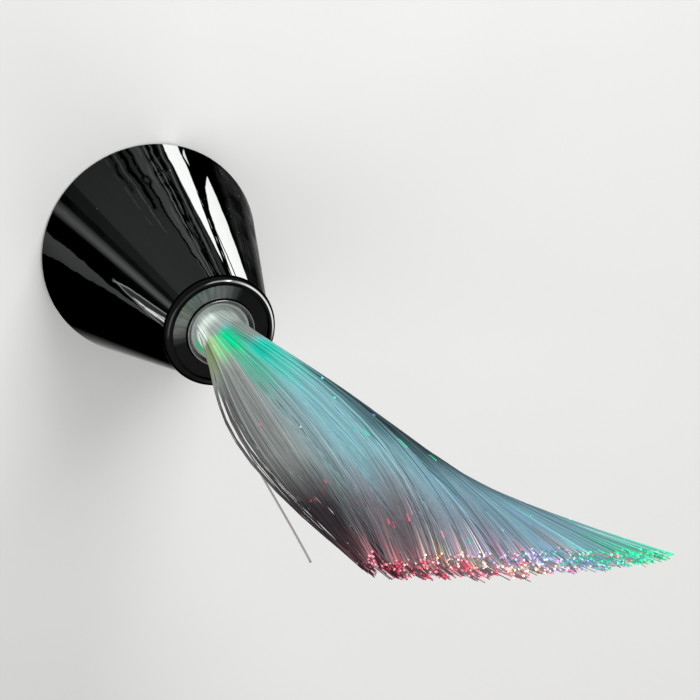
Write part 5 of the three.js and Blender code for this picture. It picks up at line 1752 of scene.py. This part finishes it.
@dataclass
class Base:
    """The base drum, its cover, feet and screws."""

    foot_height: float = 1.7
    foot_radius: float = 3.2
    foot_circle: float = 45.4
    foot_turn: float = 45.0
    copies: int = 4
    centre_foot: float = 9.0
    screw_circle: float = 45.6
    screw_foot: float = 2.0
    tower_screw_circle: float = 35.9
    tower_head: float = 27.3
    tower_turn: float = 22.5
    head_radius: float = 2.7
    head_height: float = 1.8
    shank_radius: float = 1.4
    shank_length: float = 9.0
    thread_depth: float = 0.25
    thread_step: float = 0.35
    thread_start: float = 0.6
    thread_margin: float = 1.2
    slot: Span = (0.8, 0.7)
    slot_overrun: float = 1.2

    def screw(self, name: str, foot: float, up: bool) -> bpy.types.Object:
        """A slotted screw, its head's outer face at height foot when it points up."""
        low = self.head_height + self.thread_start
        turns = range(int((self.shank_length - self.thread_margin) / self.thread_step))
        shank, depth = self.shank_radius, self.thread_depth
        thread = [(shank - depth * (k % 2), low + self.thread_step * k) for k in turns]
        head, height = self.head_radius, self.head_height
        outline = [
            (0.0, 0.0),
            *rounded([(0.3, 0.05), (head, 0.05, 0.5), (head, height, 0.15)]),
            (self.shank_radius, self.head_height),
            *thread,
            (0.0, self.head_height + self.shank_length),
        ]
        made = turned(name, outline, 32, False)
        width, depth = self.slot
        half = Vector((head * self.slot_overrun, width / 2, depth)) * MM
        work = bmesh.new()
        bmesh.ops.create_cube(work, size=2.0, matrix=Matrix.Diagonal((*half, 1.0)))
        cut_by(made, linked("slot", mesh_of("slot", work)))
        plain(made)
        if up:
            return placed(made, Matrix.Translation((0, 0, foot * MM)))
        flip = Matrix.Rotation(math.pi, 4, "X")
        return placed(made, Matrix.Translation((0, 0, (foot + self.head_height) * MM)) @ flip)

    def foot(self, name: str, radius: float) -> bpy.types.Object:
        """A rubber foot."""
        corners = [(0.0, 0.0), (radius, 0.0, 0.4), (radius, self.foot_height, 0.15), (0.0, self.foot_height)]
        return plain(turned(name, rounded(corners), 64, False))

    def build(self) -> None:
        """Makes the drum, cover, feet and screws."""
        settle(softened("base_drum", 0.25), Body.HOUSING, BLACK, ["base_drum"])
        settle(softened("battery_cover", 0.3), Body.COVER, BLACK, ["battery_cover"])
        centre = self.foot("centre_pad", self.centre_foot)
        settle(centre, Body.COVER, RUBBER, ["centre_foot"])
        tree = ring_tree()
        feet = self.foot("rubber_feet", self.foot_radius)
        low_screws = self.screw("base_screws", self.screw_foot, True)
        high_screws = self.screw("tower_screws", self.tower_head, False)
        rings = (
            (feet, "rubber_foot", RUBBER, Slot.RUBBER, self.foot_circle, self.foot_turn),
            (low_screws, "base_screw", ZINC, Slot.STEEL, self.screw_circle, 0.0),
            (high_screws, "tower_screw", ZINC, Slot.STEEL, self.tower_screw_circle, self.tower_turn),
        )
        for obj, node, finish, slot, radius, turn in rings:
            sizes = {
                "Count": self.copies,
                "Radius": radius * MM,
                "Turn": math.radians(turn),
                "Material": finish.material(),
            }
            nodes = [f"{node}_{k + 1}" for k in range(self.copies)]
            settle(tree.bake(obj, sizes), Body.HOUSING, finish, nodes)


@dataclass
class Works:
    """What the housing holds: light, wheel, drive, board, leads and cells.

    Each row gives a body, finish and slot, and the width of the roundings of each of its pieces.
    """

    parts: tuple[tuple[Body, Finish, Slot, dict[str, float]], ...] = (
        (Body.HOUSING, STEEL, Slot.STEEL, {"collar_nut": 0.3}),
        (Body.HOUSING, BLACK, Slot.MOULDING, {"light_tower": 0.2}),
        (Body.HOUSING, STEEL, Slot.STEEL, {"mid_deck": 0.15, "wheel_bridge": 0.15}),
        (Body.HOUSING, STEEL, Slot.STEEL, {"wheel_pin": 0.15, "wheel_clip": 0.1}),
        (Body.HOUSING, MIRROR, Slot.REFLECTOR, {"reflector": 0.1}),
        (Body.HOUSING, PHOSPHOR, Slot.EMITTER, {"led_emitter": 0.1}),
        (Body.HOUSING, ALUMINIUM, Slot.ALUMINIUM, {"led_board": 0.15, "heat_sink": 0.15}),
        (Body.HOUSING, GLASS, Slot.GLASS, {"window_glass": 0.2}),
        (Body.WHEEL, WHITE, Slot.WHITE_MOULDING, {"wheel_frame": 0.08}),
        *((Body.WHEEL, film, slot, {slot.value: 0.05}) for slot, film in FILMS.items()),
        (Body.PINION, BRASS, Slot.BRASS, {"drive_pinion": 0.06}),
        (Body.HOUSING, BRASS, Slot.BRASS, {"gear_case": 0.3}),
        (Body.HOUSING, STEEL, Slot.STEEL, {"motor_can": 0.4}),
        (Body.HOUSING, BOARD, Slot.CIRCUIT, {"control_board": 0.1}),
        (
            Body.HOUSING,
            INSULATION,
            Slot.LEAD,
            {f"lead_{end}": 0.05 for end in ("light", "motor", "switch", "cells")},
        ),
        (Body.HOUSING, BLACK, Slot.MOULDING, {"battery_tray": 0.2}),
        (Body.HOUSING, CELL, Slot.CELL, {f"cell_{k}": 0.2 for k in (1, 2, 3)}),
        (
            Body.HOUSING,
            BRASS,
            Slot.BRASS,
            {f"contact_{end}": 0.08 for end in ("right_pair", "right_single", "left_pair", "left_single")},
        ),
        (Body.HOUSING, STEEL, Slot.STEEL, {"switch_nut": 0.15}),
        (Body.HOUSING, BLACK, Slot.MOULDING, {"switch_body": 0.3}),
    )

    def build(self) -> None:
        """Rounds and dresses each inner piece."""
        for body, finish, slot, widths in self.parts:
            for node, width in widths.items():
                settle(softened(node, width), body, finish, [node])


@dataclass
class Studio:
    """Camera, pale floor and soft lamps.

    The room looks brighter to rays from the camera, from gloss and through glass than its light is.
    """

    tilt: float = 0.5155
    roll: float = 0.7907
    offset: Triple = (-94.39, -47.33, 1029.48)
    focal_pixels: float = 2187.06
    frame_pixels: float = 700.0
    sensor: float = 36.0
    clip: Span = (0.01, 50.0)
    floor_size: float = 8.0
    background: Colour = (0.82, 0.82, 0.81)
    ambient: float = 0.62
    aim: Triple = (0.0, 0.0, 0.12)
    seen_rays: tuple[int, ...] = (0, 3, 6)
    lamps: tuple[tuple[str, Triple, float, float], ...] = (
        ("key", (-0.75, -0.4, 0.95), 0.55, 9.0),
        ("fill", (0.9, -0.7, 1.1), 0.9, 4.5),
        ("back", (0.3, 1.2, 0.9), 0.8, 3.5),
    )

    def camera(self) -> None:
        """Sets the camera above the lamp, rolled so that the lamp lies slantwise."""
        ct, st = math.cos(self.tilt), math.sin(self.tilt)
        cp, sp = math.cos(self.roll), math.sin(self.roll)
        axes = Matrix(((-sp, cp * ct, cp * st), (cp, sp * ct, sp * st), (0.0, st, -ct)))
        right, down, ahead = (Vector(axes[row]) for row in range(3))
        spot = -(axes.transposed() @ Vector(self.offset)) * MM
        data = bpy.data.cameras.new("camera")
        data.sensor_width = self.sensor
        data.lens = self.focal_pixels / self.frame_pixels * self.sensor
        data.clip_start, data.clip_end = self.clip
        camera = bpy.data.objects.new("camera", data)
        turn = Matrix((right, -down, -ahead)).transposed().to_4x4()
        camera.matrix_world = Matrix.Translation(spot) @ turn
        bpy.context.scene.collection.objects.link(camera)
        bpy.context.scene.camera = camera

    def floor(self) -> None:
        """Lays the pale floor under the feet."""
        half = self.floor_size / 2
        corners = [(-half, -half, 0.0), (half, -half, 0.0), (half, half, 0.0), (-half, half, 0.0)]
        mesh = bpy.data.meshes.new("floor")
        mesh.from_pydata(corners, [], [(0, 1, 2, 3)])
        mesh.materials.append(Floor("pale_floor").material())
        linked("floor", mesh)

    def light(self) -> None:
        """Lights the lamp from three sides and from all round."""
        for name, spot, size, power in self.lamps:
            data = bpy.data.lights.new(name, "AREA")
            data.shape = "SQUARE"
            data.size = size
            data.energy = power
            lamp = bpy.data.objects.new(name, data)
            lamp.location = spot
            ahead = Vector(self.aim) - Vector(spot)
            lamp.rotation_euler = ahead.to_track_quat("-Z", "Y").to_euler()
            bpy.context.scene.collection.objects.link(lamp)
        world = bpy.data.worlds.new("studio")
        world.use_nodes = True
        bpy.context.scene.world = world
        graph = Graph(world.node_tree)
        first, second, third = (graph.node("ShaderNodeLightPath", None, None, k) for k in self.seen_rays)
        rays = first + second + third
        strength = self.ambient + (1.0 - self.ambient) * rays.math("MINIMUM", rays, 1.0)
        backdrop = graph.node("ShaderNodeBackground", None, {0: self.background, 1: strength})
        graph.node("ShaderNodeOutputWorld", None, {0: backdrop})

    def build(self) -> None:
        """Sets the stage."""
        self.camera()
        self.floor()
        self.light()
        bpy.context.scene.view_settings.view_transform = "Standard"


def main() -> None:
    """Builds the studio and the lamp."""
    logging.basicConfig(level=logging.INFO, format="%(message)s")
    Studio().build()
    housing = Housing()
    for assembly in (housing, Collar(), Spray(), Switch(housing.switch_place()), Base(), Works()):
        assembly.build()


if __name__ == "__main__":
    main()
